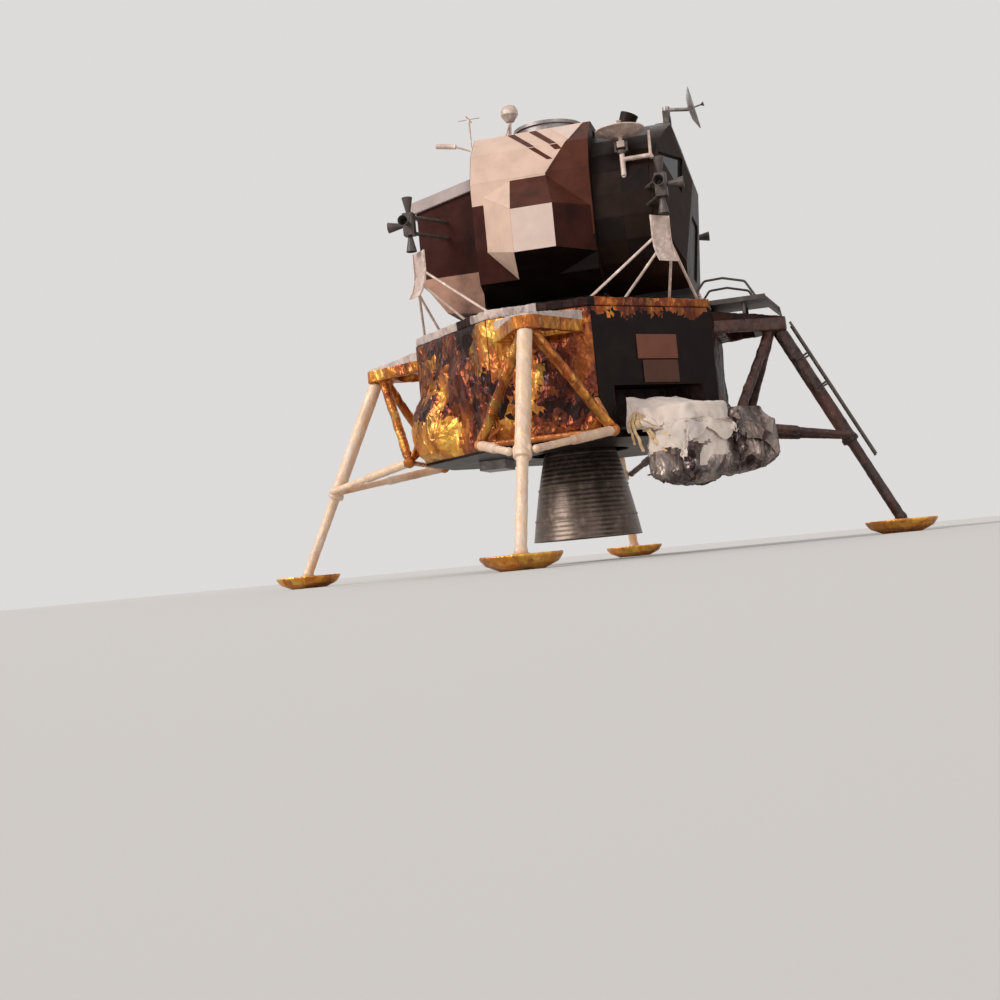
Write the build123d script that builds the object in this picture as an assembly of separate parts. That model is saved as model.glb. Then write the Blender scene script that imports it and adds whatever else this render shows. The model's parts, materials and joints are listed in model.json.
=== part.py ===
"""Crewed lunar lander: descent stage on four legs with the ascent stage on its deck.

Millimetres. +Z is up, the ground is z = 0, the origin is under the centre of the stack.
The front (hatch, porch and ladder) faces -Y, so the crew's right side faces -X.
"""
from build123d import *
from math import sqrt
import os

# Clearances: pieces that seat on each other, and what moves past its neighbours
SKIN_GAP = 0.3
MOVE_GAP = 12.0

# Descent stage: an octagon with long diagonal faces
STAGE_R = 2057.0
STAGE_HALF_FACE = 686.0
STAGE_BOTTOM = 1575.0
STAGE_TOP = 3226.0
BAY_WALL = 45.0
RIM_HIGH = 124.0
RIM_WIDE = 260.0
SHIELD_THICK = 32.0
SHIELD_HOLE_R = 690.0
ENGINE_BAY_HALF = 641.0
ENGINE_BAY_HIGH = 1215.0

# Barrels of the hatch and door hinges
HINGE_R = 14.0
HINGE_LONG = 60.0

# Pockets in the diagonal faces, measured up from the stage's base
ROVER_BAY_RISE = 65.0
ROVER_BAY_UNDER_DECK = 76.0
MESA_POCKET_HALF = 720.0
MESA_POCKET_RISE = 75.0
MESA_POCKET_HIGH = 560.0
MESA_POCKET_DEEP = 420.0
MESA_POCKET_TAPER = 294.0
KIT_BAY_HALF = 470.0
KIT_BAY_RISE = 185.0
KIT_BAY_HIGH = 1000.0
KIT_BAY_DEEP = 430.0
KIT_BAY_SHIFT = 260.0
KIT_DOOR_LAP = 20.0
KIT_DOOR_THICK = 25.0
KIT_HINGE_OUT = 30.0
KIT_HINGE_STARTS = (-360.0, 240.0)

# Landing gear of the front leg, measured out from the stage's front face and up from the ground
APEX_OUT = 858.0
APEX_Z = 2985.0
APEX_BLOCK = 190.0
FOOT_OUT = 2185.0
FOOT_BALL_Z = 205.0
PAD_RADIUS = 470.0
PAD_DEPTH = 178.0
PAD_FLAT_R = 250.0
PAD_SKIN = 26.0
PAD_SOCKET_R = 105.0
STRUT_OUTER_R = 95.0
STRUT_PISTON_R = 70.0
STRUT_COLLAR_R = 112.0
STRUT_COLLAR_LONG = 70.0
STRUT_OUTER_SHARE = 0.60
STRUT_BALL_R = 82.0
SIDE_JOINT_SHARE = 0.565
SIDE_STRUT_R = 62.0
SIDE_ROD_R = 46.0
SIDE_BALL_R = 54.0
SIDE_OUTER_SHARE = 0.55
SIDE_LUG_REACH = 112.0
SIDE_LUG_R = 58.0
SIDE_LUG_FACE_R = 90.0
KNOT_OUT = 193.0
KNOT_LATERAL = 860.0
KNOT_RISE = 35.0
KNOT_R = 80.0
TRUSS_R = 36.0
TRUSS_RISES = (235.0, 470.0)
BEAM_ROOT_HALF = 600.0
BEAM_TIP_HALF = 130.0
BEAM_TOP_DROP = 36.0
BEAM_DEEP = 290.0
BEAM_TIP_OVER = 60.0
BEAM_WALL = 42.0
BEAM_HOLE_NEAR = 150.0
BEAM_HOLE_FAR = 520.0
BRACE_R = 66.0

# Ladder on the front strut
LADDER_HALF = 205.0
LADDER_RAIL_R = 17.0
RUNG_R = 14.0
RUNG_COUNT = 9
RUNG_PITCH = 232.0
LADDER_STAND_OFF = 175.0
LADDER_TOP_RUN = 130.0
LADDER_ARM_RUNGS = (1, 3)

# Porch, its posts and hand rails
PORCH_HALF = 407.0
PORCH_OVER_DECK = 207.0
PORCH_LONG = 940.0
PORCH_ABOVE_TOP = 74.0
PORCH_THICK = 42.0
PORCH_RIB_HIGH = 22.0
PORCH_RIB_WIDE = 46.0
PORCH_RIBS = 9
PORCH_LIP_OUT = 150.0
PORCH_LIP_DROP = 190.0
PORCH_LIP_THICK = 26.0
PORCH_POST_R = 24.0
PORCH_POST_HALF = 300.0
PORCH_POST_IN = 110.0
PORCH_POST_OUT = 640.0
RAIL_R = 16.0
RAIL_BEND = 70.0
RAIL_PATH = (
    # along the porch from its inner end, above its plate
    (40.0, 20.0),
    (40.0, 200.0),
    (150.0, 340.0),
    (400.0, 350.0),
    (690.0, 270.0),
    (830.0, 20.0),
)

# Plume deflectors under the down-firing nozzles, out from the diagonal face
DEFLECTOR_HALF = 150.0
DEFLECTOR_THICK = 10.0
DEFLECTOR_LIP = 36.0
DEFLECTOR_PATH = (
    # out from the diagonal face, above the deck rim
    (350.0, 985.0),
    (350.0, 700.0),
    (368.0, 575.0),
    (405.0, 465.0),
    (462.0, 370.0),
)
DEFLECTOR_STRUT_R = 18.0
DEFLECTOR_STRUTS = (
    # foot: aside and inboard of the face's middle; head: aside, out, above the rim
    (880.0, 110.0, 110.0, 352.0, 700.0),
    (360.0, 60.0, 110.0, 384.0, 510.0),
)

# Fuel cask and its bracket, landing radar, posts between the stages
CASK_R = 100.0
CASK_LONG = 560.0
CASK_RISE = 475.0
CASK_ASIDE = -560.0
CASK_OUT = 190.0
CASK_ARM_HALF = 40.0
CASK_ARM_THICK = 50.0
CASK_ARM_RISES = (545.0, 905.0)
CASK_FINS = 8
CASK_FIN_OUT = 42.0
LANDING_RADAR_SIZE = (570.0, 380.0, 130.0)
LANDING_RADAR_SHIFT = -135.0
LANDING_RADAR_INSET = 687.0
POST_X = 620.0
POST_Y = 600.0
POST_FOOT_R = 70.0
POST_HEAD_R = 52.0
POST_HIGH = 374.0

# Descent engine and its gimbal
GIMBAL_Z = 2440.0
GIMBAL_RING_IN = 395.0
GIMBAL_RING_OUT = 450.0
GIMBAL_RING_HIGH = 86.0
GIMBAL_PIN_R = 26.0
GIMBAL_LUG = 95.0
GIMBAL_LUG_THICK = 70.0
CHAMBER_R = 300.0
CHAMBER_TOP = 2650.0
THROAT_R = 170.0
THROAT_Z = 2120.0
TRUNNION_R = 62.0
BELL_EXIT_R = 765.0
BELL_EXIT_Z = 330.0
BELL_WALL = 16.0
BELL_STEPS = 8
BELL_RING_AT = (1500.0, 1050.0, 620.0)
BELL_RING_HALF = 11.0
BELL_RING_OUT = 10.0

# Ascent stage: crew cabin, from the posts' top
ASCENT_FLOOR = STAGE_TOP + POST_HIGH
CABIN_RISE = 1100.0
CABIN_R = 1245.0
CABIN_WALL = 77.0
CABIN_BELLY = 40.0
CABIN_ROOF_CUT = 15.0
CABIN_ROOF_RISE = CABIN_R - CABIN_ROOF_CUT
CABIN_SHOULDER = 0.7 * CABIN_R
CABIN_FLOOR_THICK = 155.0
CABIN_BACK_Y = -730.0
CABIN_SPLIT_Y = -1500.0
NOSE_Y = -1985.0
NOSE_HALF = 430.0
CHEEK_LEAN = 0.10
CHEEK_SLANT = 0.50
FACE_SETBACK = 55.0
FACE_BELOW = 100.0
FACE_LEAN = 0.12
BROW_ABOVE = 300.0
BROW_LEAN = 0.26
HATCH_HALF = 406.0
HATCH_SILL = 165.0
HATCH_HIGH = 806.0
HATCH_CORNER_R = 90.0
HATCH_THICK = 45.0
FORWARD_HINGE_STAND = 18.0
FORWARD_HINGE_INSET = 3.0
FORWARD_HINGE_LEAF = 34.0
FORWARD_HINGE_STARTS = (-270.0, 210.0)
WINDOW_ASIDE = 0.866 * CABIN_R - 278.17
WINDOW_RISE = 0.5 * CABIN_R - 242.5
WINDOW_HALF = 300.0
WINDOW_UP = 250.0
WINDOW_DOWN = 270.0
WINDOW_TIP = 130.0
ROOF_WINDOW_X = (470.0, 650.0)
ROOF_WINDOW_Y = (-1380.0, -1130.0)
GLASS_OUT = 30.0
GLASS_THICK = 16.0

# Middle bay, half of its section seen from the front
MID_LONG = 1630.0
MID_SECTION = (
    # half width, above the ascent floor
    (820.0, 0.0),
    (1250.0, 250.0),
    (1320.0, 700.0),
    (1320.0, 1600.0),
    (1150.0, 2020.0),
    (800.0, 2350.0),
)
MID_WALL_X = MID_SECTION[2][0]
MID_ROOF_RISE = MID_SECTION[-1][1]
MID_INNER_HALF = 690.0
MID_INNER_RISE = 530.0
MID_SKIN = 80.0
TUNNEL_CLEAR_R = 406.5
TUNNEL_WALL = 62.0
TUNNEL_HIGH = 230.0
TUNNEL_FLANGE_R = 540.0
TUNNEL_FLANGE_THICK = 35.0
TUNNEL_LIP = 30.0
TUNNEL_LIP_HIGH = 45.0
TOP_HATCH_R = 434.0
TOP_HATCH_THICK = 56.0
TOP_HINGE_DROP = 20.0
COVER_R = 420.0
COVER_HIGH = 470.0
CHAMBER_UP_R = 300.0
NOZZLE_TOP_R = 320.0
NOZZLE_END_R = 400.0
NOZZLE_OVER_DECK = 60.0

# Propellant tank fairings outboard of the middle bay: outer face and its foot on the wall
FAIRINGS = {
    # side: out from the wall, (y low, y high, z low, z high above the ascent floor)
    "right": (480.0, (-280.0, 280.0, 500.0, 1070.0)),
    "left": (1120.0, (-300.0, 320.0, 460.0, 1100.0)),
}
FAIRING_RIDGE = 1570.0
FAIRING_FEET = (
    # for the face's front and rear edges: y on the wall, its low and high ends, y at the ridge, y at the knee
    (-700.0, 480.0, 1080.0, -140.0, -190.0),
    (740.0, 660.0, 1400.0, 350.0, 360.0),
)

# Aft equipment bay, its section seen from the side, and its roof slab
AFT_HALF = 1100.0
AFT_LONG = 840.0
AFT_SECTION = (
    # behind the middle bay, above the ascent floor
    (0.0, -110.0),
    (530.0, -40.0),
    (740.0, 260.0),
    (840.0, 380.0),
    (840.0, 1390.0),
    (0.0, 1590.0),
)
AFT_ROOF_THICK = 150.0
AFT_ROOF_OVER = 100.0
AFT_ROOF_SIDE = 40.0

# Thruster clusters
RCS_AT = 1690.0
RCS_RISE = 1100.0
RCS_BOX = 150.0
RCS_NOZZLE_EXIT_R = 72.0
RCS_NOZZLE_THROAT_R = 26.0
RCS_NOZZLE_WALL = 7.0
RCS_NOZZLE_LONG = 225.0
RCS_NOZZLE_HOLLOW = 150.0
RCS_STRUT_R = 26.0
RCS_STRUT_SPREAD = 110.0
RCS_FRONT_WALL = (1010.0, -1330.0)
RCS_REAR_WALL = (1100.0, 1330.0)

# Rendezvous radar over the cabin front
RADAR_Y = -1690.0
RADAR_RISE = 145.0
RADAR_EAR_AT = 165.0
RADAR_EAR_THICK = 32.0
RADAR_EAR_HALF = 40.0
RADAR_AXLE_R = 18.0
RADAR_HUB = 45.0
RADAR_POST_R = 22.0
RADAR_POST_HIGH = 120.0
RADAR_CAP_R = 52.0
RADAR_REACH = 300.0
RADAR_DISH_R = 300.0
RADAR_DISH_DEEP = 80.0
RADAR_TILT = 0.2

# Steerable dish on its frame at the cabin's upper right
SBAND_OUT = 348.5
SBAND_BELOW = 251.5
SBAND_X = -CABIN_SHOULDER - SBAND_OUT
SBAND_Y = -1170.0
SBAND_RISE = CABIN_SHOULDER - SBAND_BELOW
SBAND_POST_R = 34.0
SBAND_ARM_R = 30.0
SBAND_ARM_DROPS = (290.0, 80.0)
SBAND_BEAM_FRONT = -1545.0
SBAND_UPRIGHT_R = 20.0
SBAND_UPRIGHT_HIGH = 330.0
SBAND_TABLE_R = 60.0
SBAND_TABLE_HIGH = 40.0
SBAND_AXLE_RISE = 120.0
SBAND_AXLE_R = 16.0
SBAND_EAR_AT = 75.0
SBAND_EAR_THICK = 24.0
SBAND_EAR_HALF = 35.0
SBAND_DISH_R = 330.0
SBAND_DISH_DEEP = 92.0
SBAND_DISH_OVER = 90.0
DISH_SKIN = 14.0
FEED_R = 12.0
FEED_LONG = 230.0

# Fixed antennas on the roofs
DOME_Y = 545.0
DOME_R = 125.0
DOME_FOOT_R = 60.0
DOME_HIGH = 250.0
DOME_RISE = 440.0
DOME_LEG_SPREAD = 150.0
MAST_Y = 1150.0
MAST_R = 14.0
MAST_HIGH = 1560.0
MAST_BAR_HALF = 160.0
MAST_BAR_R = 8.0
TAIL_ANTENNA_FOOT_Y = 860.0
TAIL_ANTENNA_Y = (1400.0, 1670.0)
TAIL_ANTENNA_RISE = (220.0, 270.0)
TAIL_ANTENNA_R = 38.0
SHADE_Y = -1050.0
SHADE_TILT = 0.45
SHADE_LONG = 300.0
SHADE_FOOT_R = 85.0
SHADE_HEAD_R = 130.0

# Tool pallet, lowered from its pocket, with its bag and blankets
PALLET_HINGE_R = 15.0
PALLET_HALF = 690.0
PALLET_LONG = 560.0
PALLET_RACK_HALF = 600.0
PALLET_RACK_HIGH = 150.0
PALLET_RACK_THICK = 24.0
PALLET_RACK_NEAR = 25.0
PALLET_RACK_FAR = 455.0
BAG_ASIDE = (-450.0, -50.0)
BAG_OUT = (75.0, 430.0)
BAG_HIGH = 310.0
BAG_ROUND = 90.0
BLANKET_HALVES = (
    # aside from, aside to, out from, out to, drop of its top, depth
    (-660.0, 80.0, 350.0, 1250.0, 0.0, 820.0),
    (80.3, 760.0, 420.0, 1350.0, 30.0, 700.0),
)
BLANKET_ROUND = 150.0

APEX_R = STAGE_R + APEX_OUT
FOOT_R = STAGE_R + FOOT_OUT
RIM_TOP = STAGE_TOP + RIM_HIGH
CABIN_Z = ASCENT_FLOOR + CABIN_RISE
CABIN_ROOF_Z = CABIN_Z + CABIN_ROOF_RISE
MID_BACK_Y = CABIN_BACK_Y + MID_LONG
MID_ROOF_Z = ASCENT_FLOOR + MID_ROOF_RISE
TUNNEL_TOP = MID_ROOF_Z + TUNNEL_HIGH
RCS_Z = ASCENT_FLOOR + RCS_RISE
FAR = 9000.0

LEGS = (
    # name, turn about Z from the front
    ("front", 0.0),
    ("left", 90.0),
    ("rear", 180.0),
    ("right", 270.0),
)
QUADS = (
    # name, 1 on the crew's right, 1 at the front
    ("front_right", 1, 1),
    ("front_left", -1, 1),
    ("rear_right", 1, -1),
    ("rear_left", -1, -1),
)
SIDES = (-1, 1)


def tube(start, end, radius):
    """Round bar from one point to another."""
    run = Vector(*end) - Vector(*start)
    return Solid.make_cylinder(radius, run.length, Plane(origin=start, z_dir=run.normalized()))


def cone(start, end, start_radius, end_radius):
    """Tapered round bar."""
    run = Vector(*end) - Vector(*start)
    plane = Plane(origin=start, z_dir=run.normalized())
    return Solid.make_cone(start_radius, end_radius, run.length, plane)


def ball(centre, radius):
    return Solid.make_sphere(radius, Plane(origin=centre))


def block(low, high):
    """Box between two corners."""
    size = [high[i] - low[i] for i in range(3)]
    return Solid.make_box(*size, Plane(origin=low))


def polygon(plane, points):
    """Closed face through points given in a plane's own coordinates."""
    corners = [plane.from_local_coords(Vector(a, b, 0)) for a, b in points]
    return Face(Wire.make_polygon(corners, close=True))


def prism(plane, points, height):
    """Straight extrusion of a polygon along its plane's normal."""
    return Solid.extrude(polygon(plane, points), plane.z_dir * height)


def turned(profile):
    """Solid of revolution about Z from (radius, z) points."""
    return Solid.revolve(polygon(Plane.XZ, profile), 360, Axis.Z)


def tapered(near, far):
    """Solid between two four-cornered ends."""
    wires = [Wire.make_polygon([Vector(*point) for point in end], close=True) for end in (near, far)]
    return Solid.make_loft(wires, ruled=True)


def bent_tube(points, bend, radius):
    """Round tube along straight runs joined by arcs."""
    path = FilletPolyline(*points, radius=bend)
    start = Plane(origin=path @ 0, z_dir=path % 0)
    return sweep(start * Circle(radius), path).solids()[0]


def join(pieces):
    """One shape from pieces that touch."""
    return pieces[0].fuse(*pieces[1:])


def common(one, other):
    """What two shapes share, as one shape."""
    found = one.intersect(other).solids()
    return found[0] if len(found) == 1 else Compound(found)


def trimmed(body, planes):
    """What is left behind each (point, outward normal) plane."""
    for point, normal in planes:
        body = body.split(Plane(origin=point, z_dir=normal), keep=Keep.BOTTOM)
    return body


def facet(one, two, three, inside):
    """Plane through three points, with its normal away from an inside point."""
    normal = (Vector(*two) - Vector(*one)).cross(Vector(*three) - Vector(*one)).normalized()
    outward = normal.dot(Vector(*inside) - Vector(*one)) < 0
    return (one, normal if outward else normal * -1)


def between(start, end, share):
    return tuple(start[i] + (end[i] - start[i]) * share for i in range(3))


def spin(made, angle):
    """Turn one piece or a list of them about the stack's vertical axis."""
    if isinstance(made, list):
        return [spin(one, angle) for one in made]
    return made.rotate(Axis.Z, angle)


def mirror_x(shape):
    return shape.mirror(Plane.YZ)


def quad_frame(right, front):
    """Frame on a diagonal face: X level, Y up, Z outward, origin at the ground line of its middle."""
    middle = (STAGE_R + STAGE_HALF_FACE) / 2
    outward = Vector(-right, -front, 0).normalized()
    level = Vector(0, 0, 1).cross(outward)
    return Plane(origin=(-right * middle, -front * middle, 0), x_dir=level, z_dir=outward)


def quad_block(frame, level, up, out):
    """Box in a diagonal face's frame, from three (low, high) pairs."""
    low = frame.from_local_coords(Vector(level[0], up[0], out[0]))
    size = (level[1] - level[0], up[1] - up[0], out[1] - out[0])
    return Solid.make_box(*size, Plane(origin=low, x_dir=frame.x_dir, z_dir=frame.z_dir))


def hinge_half(frame, starts, webs):
    """Barrels along a frame's Z axis, each with webs given as (x range, y range)."""
    pieces = []
    for start in starts:
        foot = frame.from_local_coords(Vector(0, 0, start))
        head = frame.from_local_coords(Vector(0, 0, start + HINGE_LONG))
        pieces.append(tube(foot, head, HINGE_R))
        for x, y in webs:
            pieces.append(quad_block(frame, x, y, (start, start + HINGE_LONG)))
    return pieces


def beside(starts):
    """Where the other half's barrels start."""
    return [start + HINGE_LONG + SKIN_GAP for start in starts]


FRONT_LEFT = quad_frame(-1, 1)
REAR_LEFT = quad_frame(-1, -1)
FRONT_RIGHT = quad_frame(1, 1)


# Descent stage

def octagon(bottom, top, inset=0.0):
    """The stage's plan between two levels."""
    far = STAGE_R - inset
    half = STAGE_HALF_FACE - inset * (sqrt(2) - 1)
    points = ((far, -half), (far, half), (half, far), (-half, far))
    points += tuple((-a, -b) for a, b in points)
    return prism(Plane.XY.offset(bottom), points, top - bottom)


def rover_bay():
    """Wedge behind the front left diagonal face, inside the bay's walls."""
    bottom = STAGE_BOTTOM + ROVER_BAY_RISE
    top = STAGE_TOP - ROVER_BAY_UNDER_DECK
    depth = (STAGE_R - STAGE_HALF_FACE) / sqrt(2)
    reach = depth - BAY_WALL * sqrt(2)
    origin = FRONT_LEFT.origin + Vector(0, 0, bottom)
    plane = Plane(origin=origin, x_dir=FRONT_LEFT.x_dir, z_dir=(0, 0, 1))
    points = ((0, reach), (-reach - MOVE_GAP, -MOVE_GAP), (reach + MOVE_GAP, -MOVE_GAP))
    return prism(plane, points, top - bottom)


def mesa_pocket():
    """Pocket with slanting cheeks in the front right diagonal face."""
    bottom = STAGE_BOTTOM + MESA_POCKET_RISE
    narrow = MESA_POCKET_HALF - MESA_POCKET_TAPER
    origin = FRONT_RIGHT.origin + Vector(0, 0, bottom)
    plane = Plane(origin=origin, x_dir=FRONT_RIGHT.x_dir, z_dir=(0, 0, -1))
    points = (
        (-MESA_POCKET_HALF, 1), (MESA_POCKET_HALF, 1),
        (narrow, -MESA_POCKET_DEEP), (-narrow, -MESA_POCKET_DEEP),
    )
    return prism(plane, points, -MESA_POCKET_HIGH)


def kit_hinge_frame():
    """Frame on the kit bay door's hinge: X outward, Y down, Z level along the top edge."""
    top = STAGE_BOTTOM + KIT_BAY_RISE + KIT_BAY_HIGH + KIT_DOOR_LAP
    origin = REAR_LEFT.from_local_coords(Vector(KIT_BAY_SHIFT, top, KIT_HINGE_OUT))
    return Plane(origin=origin, x_dir=REAR_LEFT.z_dir, z_dir=REAR_LEFT.x_dir)


def kit_hinge(fixed):
    """Barrels on the stage, which reach out over the door, or on the door."""
    if fixed:
        web = ((-KIT_HINGE_OUT, 0), (-HINGE_R, -HINGE_R / 3))
        return hinge_half(kit_hinge_frame(), beside(KIT_HINGE_STARTS), [web])
    web = ((-KIT_HINGE_OUT + 2, 0), (0, HINGE_R))
    return hinge_half(kit_hinge_frame(), KIT_HINGE_STARTS, [web])


def descent_body():
    body = octagon(STAGE_BOTTOM, STAGE_TOP)
    half = ENGINE_BAY_HALF
    body -= block((-half, -half, STAGE_BOTTOM - 1), (half, half, STAGE_BOTTOM + ENGINE_BAY_HIGH))
    body -= rover_bay()
    body -= mesa_pocket()
    level = (KIT_BAY_SHIFT - KIT_BAY_HALF, KIT_BAY_SHIFT + KIT_BAY_HALF)
    floor = STAGE_BOTTOM + KIT_BAY_RISE
    body -= quad_block(REAR_LEFT, level, (floor, floor + KIT_BAY_HIGH), (-KIT_BAY_DEEP, 1))
    for side in SIDES:
        lug = block((-GIMBAL_LUG_THICK, -GIMBAL_LUG, GIMBAL_Z - GIMBAL_LUG), (0, GIMBAL_LUG, GIMBAL_Z + GIMBAL_LUG))
        lug -= tube((-2 * GIMBAL_LUG_THICK, 0, GIMBAL_Z), (1, 0, GIMBAL_Z), GIMBAL_PIN_R + SKIN_GAP)
        lug = lug.translate((half, 0, 0))
        body += lug if side > 0 else mirror_x(lug)
    return join([body] + kit_hinge(True))


def deck_rim():
    """Raised band round the deck's edge, open under the porch."""
    rim = octagon(STAGE_TOP, RIM_TOP) - octagon(STAGE_TOP - 1, RIM_TOP + 1, RIM_WIDE)
    half = PORCH_HALF + MOVE_GAP
    return rim - block((-half, -FAR, STAGE_TOP - 1), (half, 0, RIM_TOP + 1))


def base_shield():
    low = STAGE_BOTTOM - SHIELD_THICK
    plate = octagon(low, STAGE_BOTTOM)
    return plate - tube((0, 0, low - 1), (0, 0, STAGE_BOTTOM + 1), SHIELD_HOLE_R)


def fuel_cask():
    """Finned cask on its bracket beside the equipment bay."""
    low = STAGE_BOTTOM + CASK_RISE
    foot = REAR_LEFT.from_local_coords(Vector(CASK_ASIDE, low, CASK_OUT))
    cask = tube(foot, foot + Vector(0, 0, CASK_LONG), CASK_R)
    fins = []
    for turn in range(CASK_FINS):
        fin = block((0, -4, low + 30), (CASK_R + CASK_FIN_OUT, 4, low + CASK_LONG - 30))
        fin = fin.rotate(Axis.Z, 360 / CASK_FINS * (turn + 0.5))
        fins.append(fin.translate((foot.X, foot.Y, 0)))
    level = (CASK_ASIDE - CASK_ARM_HALF, CASK_ASIDE + CASK_ARM_HALF)
    arms = [
        quad_block(REAR_LEFT, level, (z, z + CASK_ARM_THICK), (0, CASK_OUT))
        for z in (STAGE_BOTTOM + rise for rise in CASK_ARM_RISES)
    ]
    return join([cask] + fins + arms)


def interstage_posts():
    return [
        cone((x * POST_X, y * POST_Y, STAGE_TOP), (x * POST_X, y * POST_Y, ASCENT_FLOOR), POST_FOOT_R, POST_HEAD_R)
        for x in SIDES for y in SIDES
    ]


def landing_radar():
    """Flat antenna box under the rear edge of the base."""
    wide, deep, high = LANDING_RADAR_SIZE
    back = STAGE_R - LANDING_RADAR_INSET
    top = STAGE_BOTTOM - SHIELD_THICK
    left = LANDING_RADAR_SHIFT - wide / 2
    return block((left, back - deep, top - high), (left + wide, back, top))


# Landing gear, built as the front leg and turned to the others

STRUT_TOP = (0, -APEX_R, APEX_Z - APEX_BLOCK / 2)
STRUT_FOOT = (0, -FOOT_R, FOOT_BALL_Z)
STRUT_SPLIT = between(STRUT_TOP, STRUT_FOOT, STRUT_OUTER_SHARE)
STRUT_JOINT = between(STRUT_TOP, STRUT_FOOT, SIDE_JOINT_SHARE)
BELOW_TOP = block((-FAR, -FAR, 0), (FAR, 0, STRUT_TOP[2]))
OUTSIDE_FACE = block((-FAR, -FAR, 0), (FAR, -STAGE_R, FAR))


def knot_centre(side):
    """Where a side strut meets the truss."""
    return (side * KNOT_LATERAL, -STAGE_R - KNOT_OUT, STAGE_BOTTOM + KNOT_RISE)


def truss_form(grow):
    """Tubes and end knots of the truss, grown to leave its neighbours a gap."""
    pieces = []
    for side in SIDES:
        end = knot_centre(side)
        pieces.append(ball(end, KNOT_R + grow))
        for rise in TRUSS_RISES:
            foot = (side * (STAGE_HALF_FACE - TRUSS_R), -STAGE_R, STAGE_BOTTOM + rise)
            pieces.append(tube(end, foot, TRUSS_R + grow))
    pieces.append(tube(knot_centre(-1), knot_centre(1), TRUSS_R + grow))
    return join(pieces)


def deployment_truss():
    """Frame that carries the side struts' inner ends below the outrigger."""
    return truss_form(0) - block((-FAR, -STAGE_R, 0), (FAR, 0, FAR))


def side_strut_form(side, grow):
    """One side strut from the truss knot to the primary strut, grown for its neighbours."""
    inner = knot_centre(side)
    outer = (side * (SIDE_LUG_REACH + SIDE_BALL_R), STRUT_JOINT[1], STRUT_JOINT[2])
    middle = between(inner, outer, SIDE_OUTER_SHARE)
    return join([
        tube(inner, middle, SIDE_STRUT_R + grow),
        tube(middle, outer, SIDE_ROD_R + grow),
        ball(outer, SIDE_BALL_R + grow),
    ])


def side_struts():
    pieces = []
    for side in SIDES:
        lug = tube((-side * FOOT_R, *STRUT_JOINT[1:]), (side * (SIDE_LUG_REACH + SKIN_GAP), *STRUT_JOINT[1:]),
                   SIDE_LUG_FACE_R)
        pieces.append(side_strut_form(side, 0) - lug - truss_form(SKIN_GAP))
    return pieces


def strut_space():
    """What the primary strut's outer cylinder needs, with its gap."""
    return common(tube(STRUT_TOP, STRUT_SPLIT, STRUT_OUTER_R + SKIN_GAP), BELOW_TOP)


def primary_strut():
    """Outer cylinder, collar, piston and foot ball."""
    run = (Vector(*STRUT_FOOT) - Vector(*STRUT_TOP)).normalized()
    collar = Vector(*STRUT_SPLIT) - run * STRUT_COLLAR_LONG
    body = join([
        tube(STRUT_TOP, STRUT_SPLIT, STRUT_OUTER_R),
        tube(collar, STRUT_SPLIT, STRUT_COLLAR_R),
        tube(STRUT_SPLIT, STRUT_FOOT, STRUT_PISTON_R),
        ball(STRUT_FOOT, STRUT_BALL_R),
        tube((-SIDE_LUG_REACH, *STRUT_JOINT[1:]), (SIDE_LUG_REACH, *STRUT_JOINT[1:]), SIDE_LUG_R),
    ])
    return common(body, BELOW_TOP)


def beam_end(y, half, low, high):
    return ((-half, y, low), (half, y, low), (half, y, high), (-half, y, high))


def outrigger():
    """Wedge-shaped box beam with a window in it, the leg's top fitting and two braces to the truss."""
    tip_y = -APEX_R - BEAM_TIP_OVER
    half_block = APEX_BLOCK / 2
    top = STAGE_TOP - BEAM_TOP_DROP
    beam = tapered(
        beam_end(-STAGE_R, BEAM_ROOT_HALF, top - BEAM_DEEP, top),
        beam_end(tip_y, BEAM_TIP_HALF, APEX_Z - half_block, APEX_Z + half_block),
    )
    near = -STAGE_R - BEAM_HOLE_NEAR
    far = -STAGE_R - BEAM_HOLE_FAR
    near_half = beam_half(BEAM_HOLE_NEAR) - 2 * BEAM_WALL
    far_half = beam_half(BEAM_HOLE_FAR) - 2 * BEAM_WALL
    hole = ((-near_half, near), (near_half, near), (far_half, far), (-far_half, far))
    beam -= prism(Plane.XY, hole, FAR)
    fitting = block((-half_block, -APEX_R - half_block, APEX_Z - half_block),
                    (half_block, -APEX_R + half_block, APEX_Z + half_block))
    head = (0, -APEX_R + half_block, APEX_Z)
    braces = [tube(head, knot_centre(side), BRACE_R) for side in SIDES]
    body = common(join([beam, fitting] + braces), OUTSIDE_FACE)
    body -= truss_form(SKIN_GAP)
    for side in SIDES:
        body -= side_strut_form(side, SKIN_GAP)
    return body - strut_space()


def footpad():
    """Shallow dish with a socket for the strut's ball."""
    rim = PAD_RADIUS
    inside = rim - PAD_SKIN
    socket_top = FOOT_BALL_Z - 20
    profile = (
        (0, 0), (PAD_FLAT_R, 0), (rim - 60, 70), (rim, PAD_DEPTH - 30), (rim, PAD_DEPTH),
        (inside, PAD_DEPTH), (inside - 10, PAD_DEPTH - 40), (PAD_FLAT_R, PAD_SKIN),
        (PAD_SOCKET_R + 40, PAD_SKIN), (PAD_SOCKET_R, socket_top), (0, socket_top),
    )
    body = turned(profile) - ball((0, 0, FOOT_BALL_Z), STRUT_BALL_R + SKIN_GAP)
    return body.translate((0, -FOOT_R, 0))


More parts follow.
